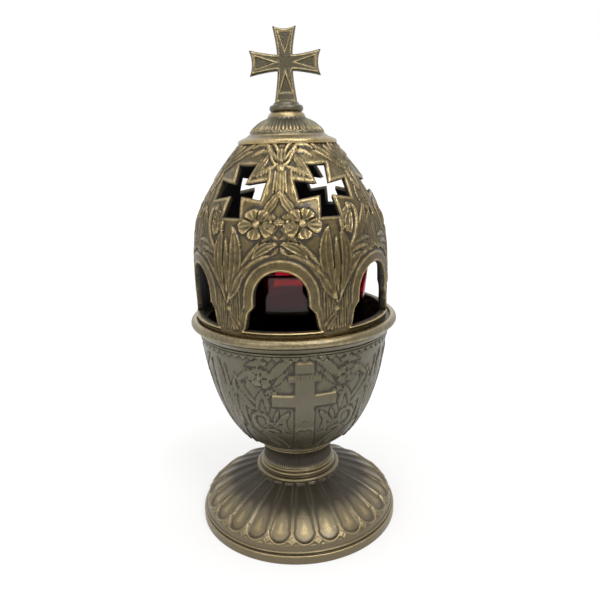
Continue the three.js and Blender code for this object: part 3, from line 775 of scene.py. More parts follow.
# %% Bowl plants
bowl_sheet.lay(
    ("leaf", 9.5, 0.8, 0.55, (90, 48), (90, 75), (90, 99)),
    ("leaf", 6.5, 0.8, 0.5, (84, 47), (80, 60), (74, 74), (77, 92)),
    ("leaf", 6.0, 0.8, 0.5, (66, 50), (74, 62), (70, 80), (64, 97)),
    ("leaf", 5.5, 0.85, 0.5, (60, 49), (62, 62), (52, 78), (56, 99)),
    ("leaf", 6.0, 0.85, 0.5, (50, 49), (56, 60), (50, 76), (43, 92)),
    ("leaf", 3.6, 0.7, 0.5, (46, 62), (47, 74), (52, 84), (50, 97)),
    ("leaf", 3.0, 0.7, 0.5, (78, 90), (72, 96), (66, 99)),
    ("leaf", 3.2, 0.7, 0.5, (84, 84), (83, 92), (87, 100)),
    ("leaf", 4.0, 0.8, 0.5, (40, 62), (45, 72), (42, 84), (36, 90)),
    ("leaf", 3.2, 0.7, 0.5, (33, 76), (37, 80), (43, 82), (46, 88)),
    ("leaf", 3.0, 0.7, 0.5, (30, 77), (35, 82), (40, 86), (43, 94)),
    ("leaf", 2.8, 0.7, 0.5, (29, 74), (33, 76), (38, 76), (43, 79)),
    ("leaf", 2.6, 0.7, 0.5, (26, 86), (24, 82), (22.5, 78), (24, 73)),
    ("leaf", 2.6, 0.7, 0.5, (24, 87), (28, 83), (31, 79), (31, 74)),
    ("leaf", 4.4, 1.0, 0.55, (11.6, 50), (19, 54), (29, 60), (35.5, 66)),
    ("tendril", 2.6, 1.0, 0.5, (33, 62), (38, 67), (36, 72.5), (30, 72.6)),
    ("tendril", 2.2, 0.9, 0.5, (31, 72.4), (27, 73), (23.5, 71), (25, 68)),
    ("leaf", 3.4, 0.8, 0.5, (20, 52), (28, 53), (36, 56), (44, 64)),
    ("leaf", 3.4, 0.8, 0.5, (14, 62), (18, 66), (22, 68), (27, 66.5)),
    ("leaf", 3.4, 0.85, 0.5, (20, 66), (16, 69), (12.5, 71.5), (9.5, 75.2)),
    ("leaf", 2.2, 0.7, 0.5, (21, 67), (19, 71.5), (16.5, 74), (17.5, 76.2)),
    ("leaf", 2.6, 0.7, 0.5, (11, 61), (14, 64), (15, 67), (12, 70)),
    ("leaf", 2.4, 0.7, 0.5, (17, 61), (20, 62.5), (24, 63.5), (29, 62.5)),
    ("leaf", 4.6, 0.9, 0.5, (6.0, 102), (11, 101.5), (15, 97.5), (20.5, 91.8)),
    ("leaf", 2.4, 0.7, 0.5, (9, 96.5), (13, 94.5), (15, 91), (19, 88.5)),
    ("leaf", 3.0, 0.8, 0.5, (20, 100.5), (25, 101), (30, 99.8), (35, 98.2)),
    ("leaf", 3.0, 0.75, 0.5, (28, 97), (33, 96), (37, 92), (42, 90)),
)
bowl_sheet.flower(26.2, 93, 5.8, 80, 1.1)
bowl_sheet.flower(20.5, 84.5, 3.0, 20, 0.8)
bowl_sheet.up = np.maximum(np.where(bowl_sheet.up > 0, 0.5, 0.9) * bowl_sheet.up, -0.36)
print("bowl plants up to", bowl_sheet.up.max().round(2), "mm")

# %% [markdown]
# The cross lies flat over the plants: a post, two arms, and a bar with plain beads. A thin ledge
# runs along the upper edges of post and arms and carries a painted highlight. The shells under the
# rim are discs with only their lower halves left.


# %% Relief cross and shells
def raised_bars(sheet, rise, bevel, *bars):
    """Flat-topped bars joined into one shape, each up to so many mm across and between two heights.
    The distance inside a bar is the least of those to its sides, and inside the shape the largest
    of the bars'. The top is reached `bevel` mm inside."""
    y = sheet.length
    depths = [
        np.minimum(reach - sheet.across, np.minimum(y - sheet.length_at(low), sheet.length_at(high) - y))
        for reach, low, high in bars
    ]
    inside = np.maximum.reduce(depths)
    sheet.cover(rise * np.minimum(1, inside / bevel), -inside, 0.3)


post, arms = (4.65, bowl_base + 6.5, bowl_mouth + 0.6), (15.6, 77.3, 84.5)
raised_bars(bowl_sheet, 0.42, 0.6, post, arms)
ledges_and_highlights = 0 * bowl_sheet.up
for low, high, height in ((5.2, 14.8, 84.2), (-9, 3.2, bowl_mouth + 0.3)):
    ledge_and_highlight = plateau(low - 0.4, low, high, high + 0.4, bowl_sheet.across)
    ledges_and_highlights += ledge_and_highlight * bell(bowl_sheet.length - bowl_sheet.length_at(height), 0.4)
bowl_sheet.up += 0.22 * ledges_and_highlights
raised_bars(bowl_sheet, 0.6, 0.5, (7.7, 91.4, 95.1))
for k in range(6):
    bowl_sheet.ball(k * 1.72, 93.25, 0.62, 0.95)
for angle, height, radius in ((2.4, 62.5, 2.1), (0, 69.6, 1.1)):
    x, y = bowl_sheet.offsets(angle, height)
    bowl_sheet.up += 0.3 * bell(np.hypot(x, y) - radius, 0.4) * (y > -0.3)

SHELLS, SHELL_RADIUS = 72, 1.85
pitch = 360 / SHELLS
x = ((bowl_sheet.angle + pitch / 2) % pitch - pitch / 2) * bowl_sheet.scale
y = bowl_sheet.length - bowl_sheet.length_at(bowl_mouth + 2.7)
gap = np.hypot(x, y)
hanging = (gap < SHELL_RADIUS) & (y < 0)
fringe = (np.abs(y + 1) < 2.6) & (y < 0) & ~hanging
bowl_sheet.up = np.where(fringe, bowl_sheet.up - 0.35 * bell(gap - SHELL_RADIUS, 0.45), bowl_sheet.up)
bowl_sheet.up = np.where(hanging, 0.3 - 0.15 * bell(gap, 0.8), bowl_sheet.up)
bowl_sheet.up *= smooth_step(bowl_base + 1.4, bowl_base + 3.0, bowl_sheet.z)
print("bowl relief from", bowl_sheet.up.min().round(2), "to", bowl_sheet.up.max().round(2), "mm")

# %% [markdown]
# Inside, the bowl follows its side at the wall's thickness down to the ledge that the glass stands
# on. A closed profile of every tenth row is enough for that. The dark lines of the rim are painted
# as low wear, because the grooves that hold the dirt are narrower than the mesh.

# %% Bowl mesh
FIRST_ROW, EACH_ROW = 17, 10
lining_side = (bowl_side - outward(bowl_side) * bowl_wall)[FIRST_ROW::EACH_ROW]
lining_side = lining_side[lining_side[:, 1] > bowl_base + 12.6][::-1]
ledge_outer, ledge_height, bowl_floor = lining_side[-1][0], bowl_base + 12.1, bowl_base + 5
ledge_inner, seat_height = ledge_outer - 6.5, bowl_top - 1.8
bowl_lining = np.concatenate([
    [(rim_inner, seat_height), (bowl_radius - bowl_wall, seat_height)],
    lining_side,
    [(ledge_outer, ledge_height), (ledge_inner, ledge_height)],
    [(ledge_inner, bowl_floor), (bore, bowl_floor), (bore, bowl_base)],
])
above_mouth = bowl_sheet.z - bowl_mouth
# The ledges get a painted highlight: the wear is raised along them.
bowl_wear_and_light = wear_of(bowl_sheet, 0.35, 1.8) + 0.4 * bowl_sheet.unfold(ledges_and_highlights)
# The rim is a little lighter above its lower moulding, and a painted highlight line runs along its top edge.
bowl_wear_and_light += 0.04 * smooth_step(4.8, 5.2, above_mouth) + 0.2 * bell(above_mouth - 11.7, 0.2)
for height, width in ((7.35, 0.3), (4.6, 0.25), (3.0, 0.2)):
    bowl_wear_and_light -= 0.5 * bell(above_mouth - height, width)
# Painted reflection: lowering the wear darkens the bowl towards the bottom, where it reflects the dark foot.
bowl_wear_and_light -= 0.16 * smooth_step(bowl_base + 24, bowl_base + 10, bowl_sheet.z)
dark_rows = np.clip(np.arange(len(bowl_lining)) - 1, 0, 1)
bowl = mesh_object(
    "bowl_casting",
    *shell(bowl_sheet, bowl_lining, LINING_COUNT),
    skins(bowl_wear_and_light, bowl_lining, LINING_COUNT, 0.35, dark_rows),
)
bowl.data.set_sharp_from_angle(angle=50 * DEGREE)
finish_piece(bowl, "stand", "bowl", cast_bronze)

# %% [markdown]
# ## The dome
# An egg-shaped shell, 2.4 mm thick. Six round arches with moulded frames open its foot and six
# crosses open its shoulder between them. The relief repeats every 120 degrees and mirrors at 60:
# at 0 stands an arch with two flowers over it, at 30 a pier with a bunch of lance leaves under a
# cross, and at 60 an arch with broad leaves. First the outlines of the openings, as distances.

# %% Dome profile and openings
DOME_TURN = -10.95
DOME_COLUMNS, DOME_PERIOD, DOME_LINING_COUNT = 648, 120, 108
dome_radius, crown_radius, dome_wall = 48.3, 21.85, 2.4
sill = dome_base + 4
dome_foot = trace(
    (dome_radius - 2.9, dome_base),
    [(dome_radius - 0.4, dome_base)],
    [(dome_radius, dome_base), (dome_radius, dome_base + 0.4)],
    [(dome_radius, sill - 0.4)],
    spacing=0.6,
)
dome_side = trace(
    (dome_radius, sill),
    [(dome_radius - 0.2, sill + 37.4), (dome_radius + 3.8, sill + 50.3), (crown_radius, dome_crown)],
    spacing=0.62,
)
dome_sheet = Sheet(np.concatenate([dome_foot, dome_side]), DOME_PERIOD, DOME_COLUMNS)
print("dome sheet", dome_sheet.up.shape)

ARCH_RADIUS, ARCH_SPRINGING = 12.3, 15.2
ARCH_JAMB = np.array([(0, 17.6), (1.7, 16.6), (6.0, 15.8), (8.4, 15.2), (11.2, 12.5), (15.2, 12.3)])
CROSS_HEIGHT = sill + 61.7
CROSS_REACH, CROSS_INNER, CROSS_OUTER = 12.8, 2.85, 4.6


def arch_distance(x, y):
    """Signed distance to an arched opening, negative inside: a round head, |(x, y - springing)| minus
    the radius, on jambs that step out to the sill, |x| minus the jamb's half width at y."""
    side = np.abs(x) - np.interp(y, ARCH_JAMB[:, 0], ARCH_JAMB[:, 1])
    head = np.hypot(x, np.maximum(y - ARCH_SPRINGING, 0)) - ARCH_RADIUS
    return np.maximum(np.where(y > ARCH_SPRINGING, head, side), -y)


def cross_distance(x, y):
    """Signed distance to a cross whose arms widen outwards, folded so that one arm stands for all
    four: the larger of the distances to its end and to its sloping side."""
    far, near = np.maximum(np.abs(x), np.abs(y)), np.minimum(np.abs(x), np.abs(y))
    slope = (CROSS_OUTER - CROSS_INNER) / (CROSS_REACH - CROSS_INNER)
    side = (near - CROSS_INNER - slope * (far - CROSS_INNER)) / math.hypot(1, slope)
    return np.maximum(far - CROSS_REACH, side)


# %% [markdown]
# The dome's plants grow in three groups, and the order in which they are laid is the order from back
# to front: broad leaves and a curled bud over the plain arch at 60, a crown of leaves and ribbons
# round the top, and on the pier at 30 a bunch of lance leaves that rises from thin stems.

# %% Dome plants, broad leaves and crown
dome_sheet.lay(
    ("leaf", 9.0, 0.9, 0.5, (60, 150), (60, 158), (60, 166)),
    ("leaf", 5.0, 0.85, 0.5, (58.5, 149.5), (52, 153), (50, 160), (56, 165)),
    ("leaf", 4.2, 0.85, 0.5, (57, 149), (50, 150.5), (45, 153), (43, 158)),
    ("leaf", 3.2, 0.8, 0.5, (52, 148.5), (46, 148.5), (41, 147), (37, 142)),
    ("leaf", 4.4, 0.8, 0.5, (60, 166), (57, 170), (56, 175), (60, 180)),
    ("tendril", 2.2, 0.8, 0.5, (60, 176), (56, 180), (56, 184), (60, 188)),
    ("leaf", 4.0, 0.85, 0.5, (59, 184), (54, 186), (50, 189), (46, 193)),
    ("leaf", 3.2, 0.8, 0.5, (60, 186), (58, 190), (53, 193), (46, 196)),
    ("leaf", 3.0, 0.8, 0.5, (60, 190), (59, 194), (56, 197)),
    ("tendril", 2.1, 1.0, 0.5, (38, 149), (42, 154), (47, 159), (50, 166), (49, 170), (43, 170)),
    ("leaf", 3.4, 0.95, 0.6, (38, 146), (46, 155), (52, 163), (58, 171)),
    ("leaf", 2.8, 0.85, 0.5, (40, 151), (46, 155), (51, 156), (57, 154)),
    ("leaf", 2.6, 0.85, 0.5, (38, 148), (43, 151.5), (48, 152.5), (54, 151)),
    ("petal", 4.2, 1.0, 0.6, (45, 169), (42, 166), (40, 162), (41, 157.5)),
    ("petal", 4.4, 1.15, 0.6, (44, 169.5), (40, 168), (37, 164), (35.5, 159)),
    ("petal", 3.2, 1.2, 0.6, (43, 168.5), (41, 165), (38.5, 161), (38.5, 158)),
)
dome_sheet.ball(43.6, 169, 1.5, 1.0)
dome_sheet.lay(
    ("leaf", 2.6, 0.9, 0.4, (31, 196.8), (38, 195), (46, 191.8), (55, 188.8)),
    ("leaf", 2.2, 0.85, 0.4, (30, 193.6), (37, 193), (43, 190.6), (49, 187.4)),
    ("leaf", 2.8, 1.0, 0.6, (7, 189.8), (12, 193.6), (21, 195.4), (29, 190.4)),
    ("leaf", 2.6, 1.05, 0.6, (5, 191), (11, 196), (22, 198.6), (33, 194)),
    ("leaf", 4.2, 0.95, 0.4, (20, 184), (17.5, 187), (14, 190.5), (9, 193)),
    ("leaf", 3.6, 0.95, 0.35, (22, 182.8), (16, 184), (9, 186.2), (2.5, 187.2)),
    ("tendril", 2.0, 1.15, 0.5, (1, 189.5), (5, 189.8), (7, 193), (14, 194.6)),
    ("tendril", 1.7, 1.2, 0.5, (2.5, 187.5), (7, 188), (9, 190), (8.5, 192.2), (12.5, 193)),
    ("tendril", 1.8, 1.1, 0.5, (0, 190.5), (2.5, 192), (5, 196), (11, 197.2)),
    ("leaf", 3.6, 0.9, 0.5, (0, 188), (0.5, 191), (0.5, 193), (0, 195)),
)
for aside in (0.55, 2.35, 4.2):
    dome_sheet.blade("tendril", 1.15, 0.62, 0.5, [(aside, 176), (aside, 180), (aside * 0.9, 184.5)], 0.25)
dome_sheet.blade("tendril", 1.3, 0.5, 0.5, [(8.3, 175.5), (8.2, 180), (8.0, 184.6)], 0.1)
dome_sheet.ball(0, 186, 2.1, 1.15)
dome_sheet.ball(0, 186.2, 0.8, 1.5)
print("broad leaves and crown up to", dome_sheet.up.max().round(2), "mm")

# %% [markdown]
# On the pier thin upright stems stand behind three pairs of lance leaves and four tall ones, tied
# by a ball. Small leaves and the flowers over the arch come last, because they lie in front.

# %% Dome plants, pier and flowers
dome_sheet.lay(
    ("leaf", 4.3, 1.0, 0.5, (0.1, 176.6), (2.4, 173.2), (5.4, 169.6), (10.6, 165.8)),
    ("leaf", 2.8, 0.85, 0.5, (19.5, 139.6), (24.5, 137.8), (27.5, 133), (29.4, 127)),
)
for stem in np.arange(21.6, 39, 1.5):
    spine = [(stem, 116), (stem + 0.7, 121), (stem - 0.5, 127), (stem, 134)]
    dome_sheet.blade("tendril", 0.9, 0.55, 0.5, spine, 0.15)
for lift in (0, 1, 2):
    places = (29 - 0.8 * lift, 26.5 - lift, 22 - 2.5 * lift, 16 - 2.5 * lift)
    heights = (126 + 2 * lift, 134 + 2 * lift, 140 + 2.4 * lift, 144.6 + 2.4 * lift)
    dome_sheet.lay(("leaf", 2.6, 0.9, 0.5, *zip(places, heights)))
    dome_sheet.lay(("leaf", 2.6, 0.9, 0.5, *((60 - place, height) for place, height in zip(places, heights))))
dome_sheet.lay(
    ("leaf", 3.6, 0.9, 0.5, (29.5, 129), (24, 135), (20.8, 141), (21.4, 148)),
    ("leaf", 3.0, 0.8, 0.5, (31, 132), (30.4, 142), (31, 150), (31, 157)),
    ("tendril", 1.5, 0.75, 0.5, (30, 124), (28.5, 121), (27.6, 118), (27, 115.6)),
    ("tendril", 1.2, 0.65, 0.5, (30.5, 124.5), (27, 122), (24, 119.5), (22.6, 117)),
    ("tendril", 1.3, 0.6, 0.5, (25, 116), (26.5, 119), (28.5, 121), (30, 121.6)),
    ("leaf", 5.4, 1.0, 0.6, (31.5, 128), (37, 141), (38.6, 151), (34.2, 160.5)),
    ("leaf", 6.2, 1.05, 0.6, (31.0, 127), (26, 140), (21.5, 150), (27.3, 162)),
)
dome_sheet.ball(30, 125.2, 1.5, 0.95)
dome_sheet.lay(
    ("leaf", 2.4, 0.85, 0.5, (18.6, 143.2), (22.6, 141.6), (25.5, 138), (27.6, 132.6)),
    ("leaf", 2.4, 0.95, 0.55, (13.6, 146.4), (17.5, 145.3), (20.5, 143.2), (23.4, 139.6)),
    ("leaf", 2.6, 0.95, 0.5, (3.4, 150.2), (9, 149.4), (14.5, 147.4), (19.5, 143.2)),
    ("leaf", 2.3, 0.95, 0.5, (10.4, 155.8), (13.5, 151.6), (18, 149), (21.2, 144.6)),
    ("leaf", 4.4, 1.1, 0.48, (0.7, 154.6), (5.5, 154.4), (10, 152.8), (14.8, 148.2)),
    ("leaf", 1.8, 0.9, 0.5, (0.1, 153.6), (0.9, 152.2), (2.2, 150.8), (4.2, 149.9)),
    ("leaf", 2.4, 0.7, 0.5, (0.2, 156.4), (3, 157.6), (6, 158.8), (9, 160)),
    ("leaf", 2.8, 0.75, 0.5, (0.4, 162), (3, 160), (6, 157), (10, 155.4)),
)
dome_sheet.flower(13.0, 162.9, 7.8, 62, 1.35)
dome_sheet.flower(4.6, 163.8, 3.7, 40, 1.0)
dome_sheet.up = np.maximum(dome_sheet.up * 0.6, -0.32)
print("all plants up to", dome_sheet.up.max().round(2), "mm")

# %% [markdown]
# The frames of the openings cut through the plants. Each is a cross-section swept round the
# opening, which a signed distance gives for free: a roll is a bell of the distance from its middle.


# %% Dome frames
def frame_openings(sheet):
    """Clears the ornament round the openings and lays their mouldings, each a sum of bells of the
    distance d: round an arch's head two rolls with a cove and two thin lines between them, down its
    legs a thin fillet, along the sill a lip, and round a cross a thin fillet."""
    y = sheet.length - sheet.length_at(sill)
    for centre in (0, 60):
        x = (sheet.angle - centre) * sheet.scale
        d = arch_distance(x, y)
        legs = smooth_step(9.0, 11.5, y)
        band = smooth_step(6.0, 5.2, d) * legs
        rolls = 0.5 * bell(d - 0.6, 0.45) + 0.12 * bell(d - 1.9, 0.4) + 0.12 * bell(d - 3.1, 0.4)
        moulding = (rolls + 0.5 * bell(d - 4.6, 0.5) - 0.2 * bell(d - 5.7, 0.4)) * legs
        sheet.up = np.where(d < 6.6, sheet.up * (1 - band) + moulding * smooth_step(6.6, 6.0, d), sheet.up)
        low = (1 - legs) * smooth_step(3.4, 2.2, d) * (y > -1)
        sheet.up = sheet.up * (1 - low) + 0.45 * bell(d - 0.6, 0.45) * low
        sheet.up += 0.4 * smooth_step(19.6, 18.6, np.abs(x)) * bell(y + 0.35, 0.55)
        sheet.up -= 0.3 * bell(np.maximum(d, 0), 0.3) * (y > 0.4)
    d = cross_distance(*sheet.offsets(30, CROSS_HEIGHT))
    clear = smooth_step(2.3, 1.3, d)
    sheet.up = sheet.up * (1 - clear) + 0.38 * bell(d - 1.1, 0.42) - 0.25 * bell(np.maximum(d, 0), 0.3)


frame_openings(dome_sheet)
dome_sheet.up *= plateau(sill - 1.4, sill - 0.4, dome_crown - 1.6, dome_crown - 0.8, dome_sheet.z)
print("dome relief from", dome_sheet.up.min().round(2), "to", dome_sheet.up.max().round(2), "mm")

# %% [markdown]
# The real dome is cast with its openings. Here the shell is made whole first, because rings of
# equal counts are easy to join, and the openings are cut afterwards. The lining takes every eighth
# row of the side, moved in by the wall.

# %% Dome shell
stud_hole, crown_inside = 1.8, dome_crown - dome_wall
side_inner = (dome_side - outward(dome_side) * dome_wall)[::8]
side_inner = side_inner[side_inner[:, 1] < crown_inside - 0.8][::-1]
dome_lining = np.concatenate([
    [(stud_hole, dome_crown), (stud_hole, crown_inside), (crown_radius - 2.2, crown_inside)],
    side_inner[:-1],
    [(dome_radius - 2.9, sill)],
])
dome_shell = shell(dome_sheet, dome_lining, DOME_LINING_COUNT, DOME_TURN, dome_axis)
dome = mesh_object("dome_casting", *dome_shell)
print("dome shell has", len(dome.data.vertices), "points before the cut")

# %% [markdown]
# One boolean cuts all openings. Each cutter is the opening's outline carried to two or three
# distances from the profile, so the cut runs square to the wall, and a cross's cutter flares
# inwards. A cutter's faces start at their last corner, which sets the diagonal along which the
# boolean splits them.

# %% Dome cut
side_lengths, side_normals = lengths_along(dome_side), outward(dome_side)


def on_side(x, y, raised, azimuth):
    """Places of an outline, x across and y along the side from the sill, moved out by `raised`:
    the side's point and normal at length y, turned to azimuth + x / radius."""
    radius, z = (np.interp(y, side_lengths, column) for column in dome_side.T)
    normal_r, normal_z = (np.interp(y, side_lengths, column) for column in side_normals.T)
    a = azimuth * DEGREE + x / radius
    r = radius + raised * normal_r
    z = z + np.minimum(y, 0) + raised * normal_z
    return np.stack([dome_axis[0] + r * np.sin(a), dome_axis[1] - r * np.cos(a), z], 1)


def arch_outline():
    """The arch's outline, anticlockwise from the left end of the sill: sill, jamb, round head, jamb."""
    sill_x = np.linspace(-ARCH_JAMB[0, 1], ARCH_JAMB[0, 1], 24)
    jamb_y = np.linspace(0, ARCH_SPRINGING, 20)[1:]
    jamb_x = np.interp(jamb_y, ARCH_JAMB[:, 0], ARCH_JAMB[:, 1])
    head = np.linspace(0, math.pi, 40)[1:-1]
    x = np.concatenate([sill_x, jamb_x, ARCH_RADIUS * np.cos(head), -jamb_x[::-1]])
    y = np.concatenate([0 * sill_x, jamb_y, ARCH_SPRINGING + ARCH_RADIUS * np.sin(head), jamb_y[::-1]])
    return x, y


def cross_outline(grow):
    """The cross's outline grown by some mm, anticlockwise: three corners of one arm, turned by
    quarters for the other three, with eight samples on each straight edge."""
    inner, outer, reach = CROSS_INNER + grow, CROSS_OUTER + grow, CROSS_REACH + grow
    arm = np.array([(inner, -inner), (reach, -outer), (reach, outer)])
    quarter = np.array([[0, -1], [1, 0]])
    corners = np.concatenate([arm @ np.linalg.matrix_power(quarter, k).T for k in range(4)])
    t = np.linspace(0, 1, 9)[None, :-1, None]
    x, y = (corners[:, None] * (1 - t) + np.roll(corners, -1, 0)[:, None] * t).reshape(-1, 2).T
    return x, y + np.interp(CROSS_HEIGHT, dome_side[:, 1], side_lengths)


arch_levels = [(raised, arch_outline()) for raised in (-7, 6)]
cross_levels = [(raised, cross_outline(grow)) for raised, grow in ((-5, 1.9), (-0.4, 0), (6, 0))]
cutter_points, cutter_faces = [], []
for k in range(6):
    for levels, azimuth in ((arch_levels, 60 * k), (cross_levels, 60 * k + 30)):
        points, faces = capped([on_side(*outline, raised, DOME_TURN + azimuth) for raised, outline in levels])
        start = sum(map(len, cutter_points))
        cutter_points.append(points)
        cutter_faces += [[start + i for i in face[-1:] + face[:-1]] for face in faces]
cutter = mesh_object("cutter", np.concatenate(cutter_points), cutter_faces)
cut = dome.modifiers.new("openings", "BOOLEAN")
cut.operation, cut.solver, cut.object = "DIFFERENCE", "MANIFOLD", cutter
shape = bpy.data.meshes.new_from_object(dome.evaluated_get(bpy.context.evaluated_depsgraph_get()))
bpy.data.objects.remove(dome)
bpy.data.objects.remove(cutter)
dome = new_object("dome_casting", shape)
print("dome with", len(cutter_points), "openings has", len(shape.vertices), "points")

# %% [markdown]
# The cut leaves new points, so the dome's wear is read back afterwards: each point finds its row and
# column on the sheet. What lies more than a millimetre inside the profile is wall or lining.

# %% Dome wear
spot = np.zeros(len(shape.vertices) * 3, np.float32)
shape.vertices.foreach_get("co", spot)
spot = spot.reshape(-1, 3) / MM - np.append(dome_axis, 0)
spot_azimuth = np.degrees(np.arctan2(spot[:, 0], -spot[:, 1])) - DOME_TURN
row = np.interp(spot[:, 2], dome_sheet.path[:, 1], np.arange(len(dome_sheet.path)))
row = np.round(row).astype(int)
column = np.round(spot_azimuth / 360 * dome_sheet.columns).astype(int) % dome_sheet.columns
depth = np.interp(spot[:, 2], *dome_sheet.path.T[::-1]) - np.hypot(spot[:, 0], spot[:, 1])
# A painted highlight lifts the wear of the upper dome, from 158 mm up.
dome_wear_and_light = wear_of(dome_sheet, 1.0, 2.0) + 0.1 * smooth_step(158, 178, dome_sheet.z)
lining = smooth_step(1.0, 1.7, depth)
give_values(shape, {"wear": dome_wear_and_light[row, column] * (1 - lining) + 0.4 * lining, "lining": lining})
shape.materials.clear()
shape.shade_smooth()
shape.set_sharp_from_angle(angle=55 * DEGREE)
finish_piece(dome, "cover", "dome", bright_bronze)

# %% [markdown]
# ## The cap
# The cap covers the dome's crown: a smooth rolled band, then thirty short flutes with round lower
# tips, then a plain neck for the cross. The foot's flute tool fits here too, only smaller. Band and
# neck get a painted sheen, the tops of the flutes painted shade and their tips a painted highlight.

# %% Cap
CAP_FLUTES, CAP_FLUTE_COLUMNS = 30, 20
CAP_LINING_COUNT = 60
cap_base = cap_seat - 1.6
cap_outer = 24.0
cap_band = trace(
    (cap_outer - 0.4, cap_base),
    *from_corner(cap_outer, cap_base, [(0, 0.05), (0, 0.5)], [(0.1, 1.9), (-1.1, 2.3)]),
    *from_corner(cap_outer, cap_base, [(-1.6, 2.4), (-1.9, 2.7)], [(-3.4, 3.2), (-4.6, 3.6), (-5.1, 4.4)]),
    *from_corner(cap_outer, cap_base, [(-5.6, 4.6)], [(-5.8, 5.1)]),
    spacing=0.3,
)
cap_slope = trace(
    cap_band[-1],
    [(17.0, cap_base + 7.6), (13.6, cap_top - 4.3), (9.6, cap_top - 3.1)],
    spacing=0.36,
)
cap_neck = trace(
    cap_slope[-1],
    [(9.0, cap_top - 2.4), (8.9, cap_top - 1.6), (8.5, cap_top - 1.1)],
    [(7.9, cap_top - 0.5), (7.3, cap_top)],
    spacing=0.3,
)
cap_sheet = Sheet(joined(cap_band, cap_slope, cap_neck), 360 / CAP_FLUTES, CAP_FLUTES * CAP_FLUTE_COLUMNS)
cap_tip_highlight = drop_flutes(cap_sheet, len(cap_band) - 1, len(cap_band) + len(cap_slope) - 2, 1.1, 0.3)
cap_sheet.up *= smooth_step(cap_base + 4.1, cap_base + 4.9, cap_sheet.z)
cap_lining = np.array([
    (stud_hole, cap_top), (stud_hole, cap_seat), (5.5, cap_seat),
    (5.5, cap_top - 5), (16.1, cap_seat), (21.9, cap_seat),
])
# Painted sheen on band and neck, painted shade on the tops of the flutes and a painted highlight at their
# tips.
cap_painted_sheen = 1 - plateau(cap_base + 4.5, cap_base + 5.3, cap_top - 3.2, cap_top - 2.6, cap_sheet.z)
cap_shade = smooth_step(cap_base + 6.7, cap_base + 9.1, cap_sheet.z) * (1 - cap_painted_sheen)
cap_wear_and_light = wear_of(cap_sheet, 0.5, 1.3) + 0.06 + 0.16 * cap_painted_sheen - 0.15 * cap_shade
cap_wear_and_light += 0.5 * cap_sheet.unfold(cap_tip_highlight)
cap = mesh_object(
    "cap_casting",
    *shell(cap_sheet, cap_lining, CAP_LINING_COUNT, DOME_TURN, dome_axis),
    skins(cap_wear_and_light, cap_lining, CAP_LINING_COUNT, 0.4),
)
finish_piece(cap, "cover", "dome_cap", cap_bronze)

# %% [markdown]
# ## The cross
# A small cast cross with four flared arms and hollow ends. Its face is a height over its outline:
# a rim at the edge, and in each arm a pointed panel with its own thin frame. The face is sampled
# in polar form: each point is a share of the way from the middle to the outline.

# %% Cross outline
CROSS_TURN = -5.15
SPOKES, SHARES, COLLAR_COUNT = 720, 44, 96
collar_reach = 8.2
cross_middle = finial_base + 22.0
side_reach, top_reach, foot_reach = 17.0, finial_top - cross_middle, 18.8
arm_inner, arm_outer, arm_hollow, half_thick = 3.7, 5.8, 1.3, 2.25
bend, end = 2 * arm_inner, arm_outer - 0.2
edge = trace(
    (end, -foot_reach),
    [(arm_inner, -bend), (arm_inner, -arm_inner)],
    [(bend, -arm_inner), (side_reach, -arm_outer)],
    [(side_reach - 2 * arm_hollow, 0), (side_reach, arm_outer)],
    [(bend, arm_inner), (arm_inner, arm_inner)],
    [(arm_inner, bend), (end, top_reach)],
    [(0, top_reach - 2 * arm_hollow), (-end, top_reach)],
    [(-arm_inner, bend), (-arm_inner, arm_inner)],
    [(-bend, arm_inner), (-side_reach, arm_outer)],
    [(2 * arm_hollow - side_reach, 0), (-side_reach, -arm_outer)],
    [(-bend, -arm_inner), (-arm_inner, -arm_inner)],
    [(-arm_inner, -bend), (-end, -foot_reach)],
    [(end - 0.01, -foot_reach)],
    spacing=0.3,
)
edge_angle = np.unwrap(np.arctan2(edge[:, 1], edge[:, 0]))
spoke = edge_angle[0] + np.arange(SPOKES) * 2 * math.pi / SPOKES
reach = np.interp(spoke, edge_angle, np.hypot(edge[:, 0], edge[:, 1]), period=2 * math.pi)
share = np.linspace(0, 1, SHARES)[1:, None]
face_x, face_z = share * reach * np.cos(spoke), share * reach * np.sin(spoke)
print("cross outline of", len(edge), "points,", round(finial_top - finial_base, 1), "mm tall with its collar")


# %% [markdown]
# The height of the face comes from two distances: e to the outline, which rounds the rim, and d to
# each arm's panel, which sinks it and raises its frame.


# %% Cross face
def edge_distance(x, z):
    """Distance in mm from each point to the nearest point of the outline."""
    parts = np.array_split(np.stack([x.ravel(), z.ravel()], 1), 40)
    nearest = [np.sqrt(((part[:, None] - edge[None]) ** 2).sum(2).min(1)) for part in parts]
    return np.concatenate(nearest).reshape(x.shape)


def face_height(x, z):
    """Height of the face over the cross's middle plane, and the thin lines on it that are lightened, as
    rubbed metal and painted highlight: a quarter round at the edge, then a bell on each panel's frame
    and a step down inside it."""
    e = edge_distance(x, z)
    lines = bell(e - 1.0, 0.35)
    face = half_thick * bulge(1 - np.clip(e / 1.1, 0, 1)) - 0.35 * smooth_step(1.1, 1.6, e)
    arms = (x, z, side_reach), (-x, z, side_reach), (z, x, top_reach), (-z, x, foot_reach - 2.2)
    for along, across, far in arms:
        near, last = 3.9, far - arm_hollow - 1.5
        slope = (arm_outer - 2.5) / (last - near)
        d = np.maximum(along - last, (np.abs(across) - slope * (along - near)) / math.hypot(1, slope))
        face = face + 0.3 * bell(d + 0.1, 0.35) - 0.4 * smooth_step(-0.3, -0.8, d)
        lines = np.maximum(lines, bell(d + 0.1, 0.35))
    face = face + 0.3 * bell(z + foot_reach - 1.6, 0.4) * smooth_step(0, 1, e)
    return np.minimum(face, half_thick), lines


def stand_up(x, y, z):
    """Turns a point of the cross's own frame to where it faces and moves it to its place."""
    cosine, sine = math.cos(CROSS_TURN * DEGREE), math.sin(CROSS_TURN * DEGREE)
    turned_x, turned_y = x * cosine - y * sine, x * sine + y * cosine
    return np.stack([dome_axis[0] + turned_x, dome_axis[1] + turned_y, cross_middle + z], -1)


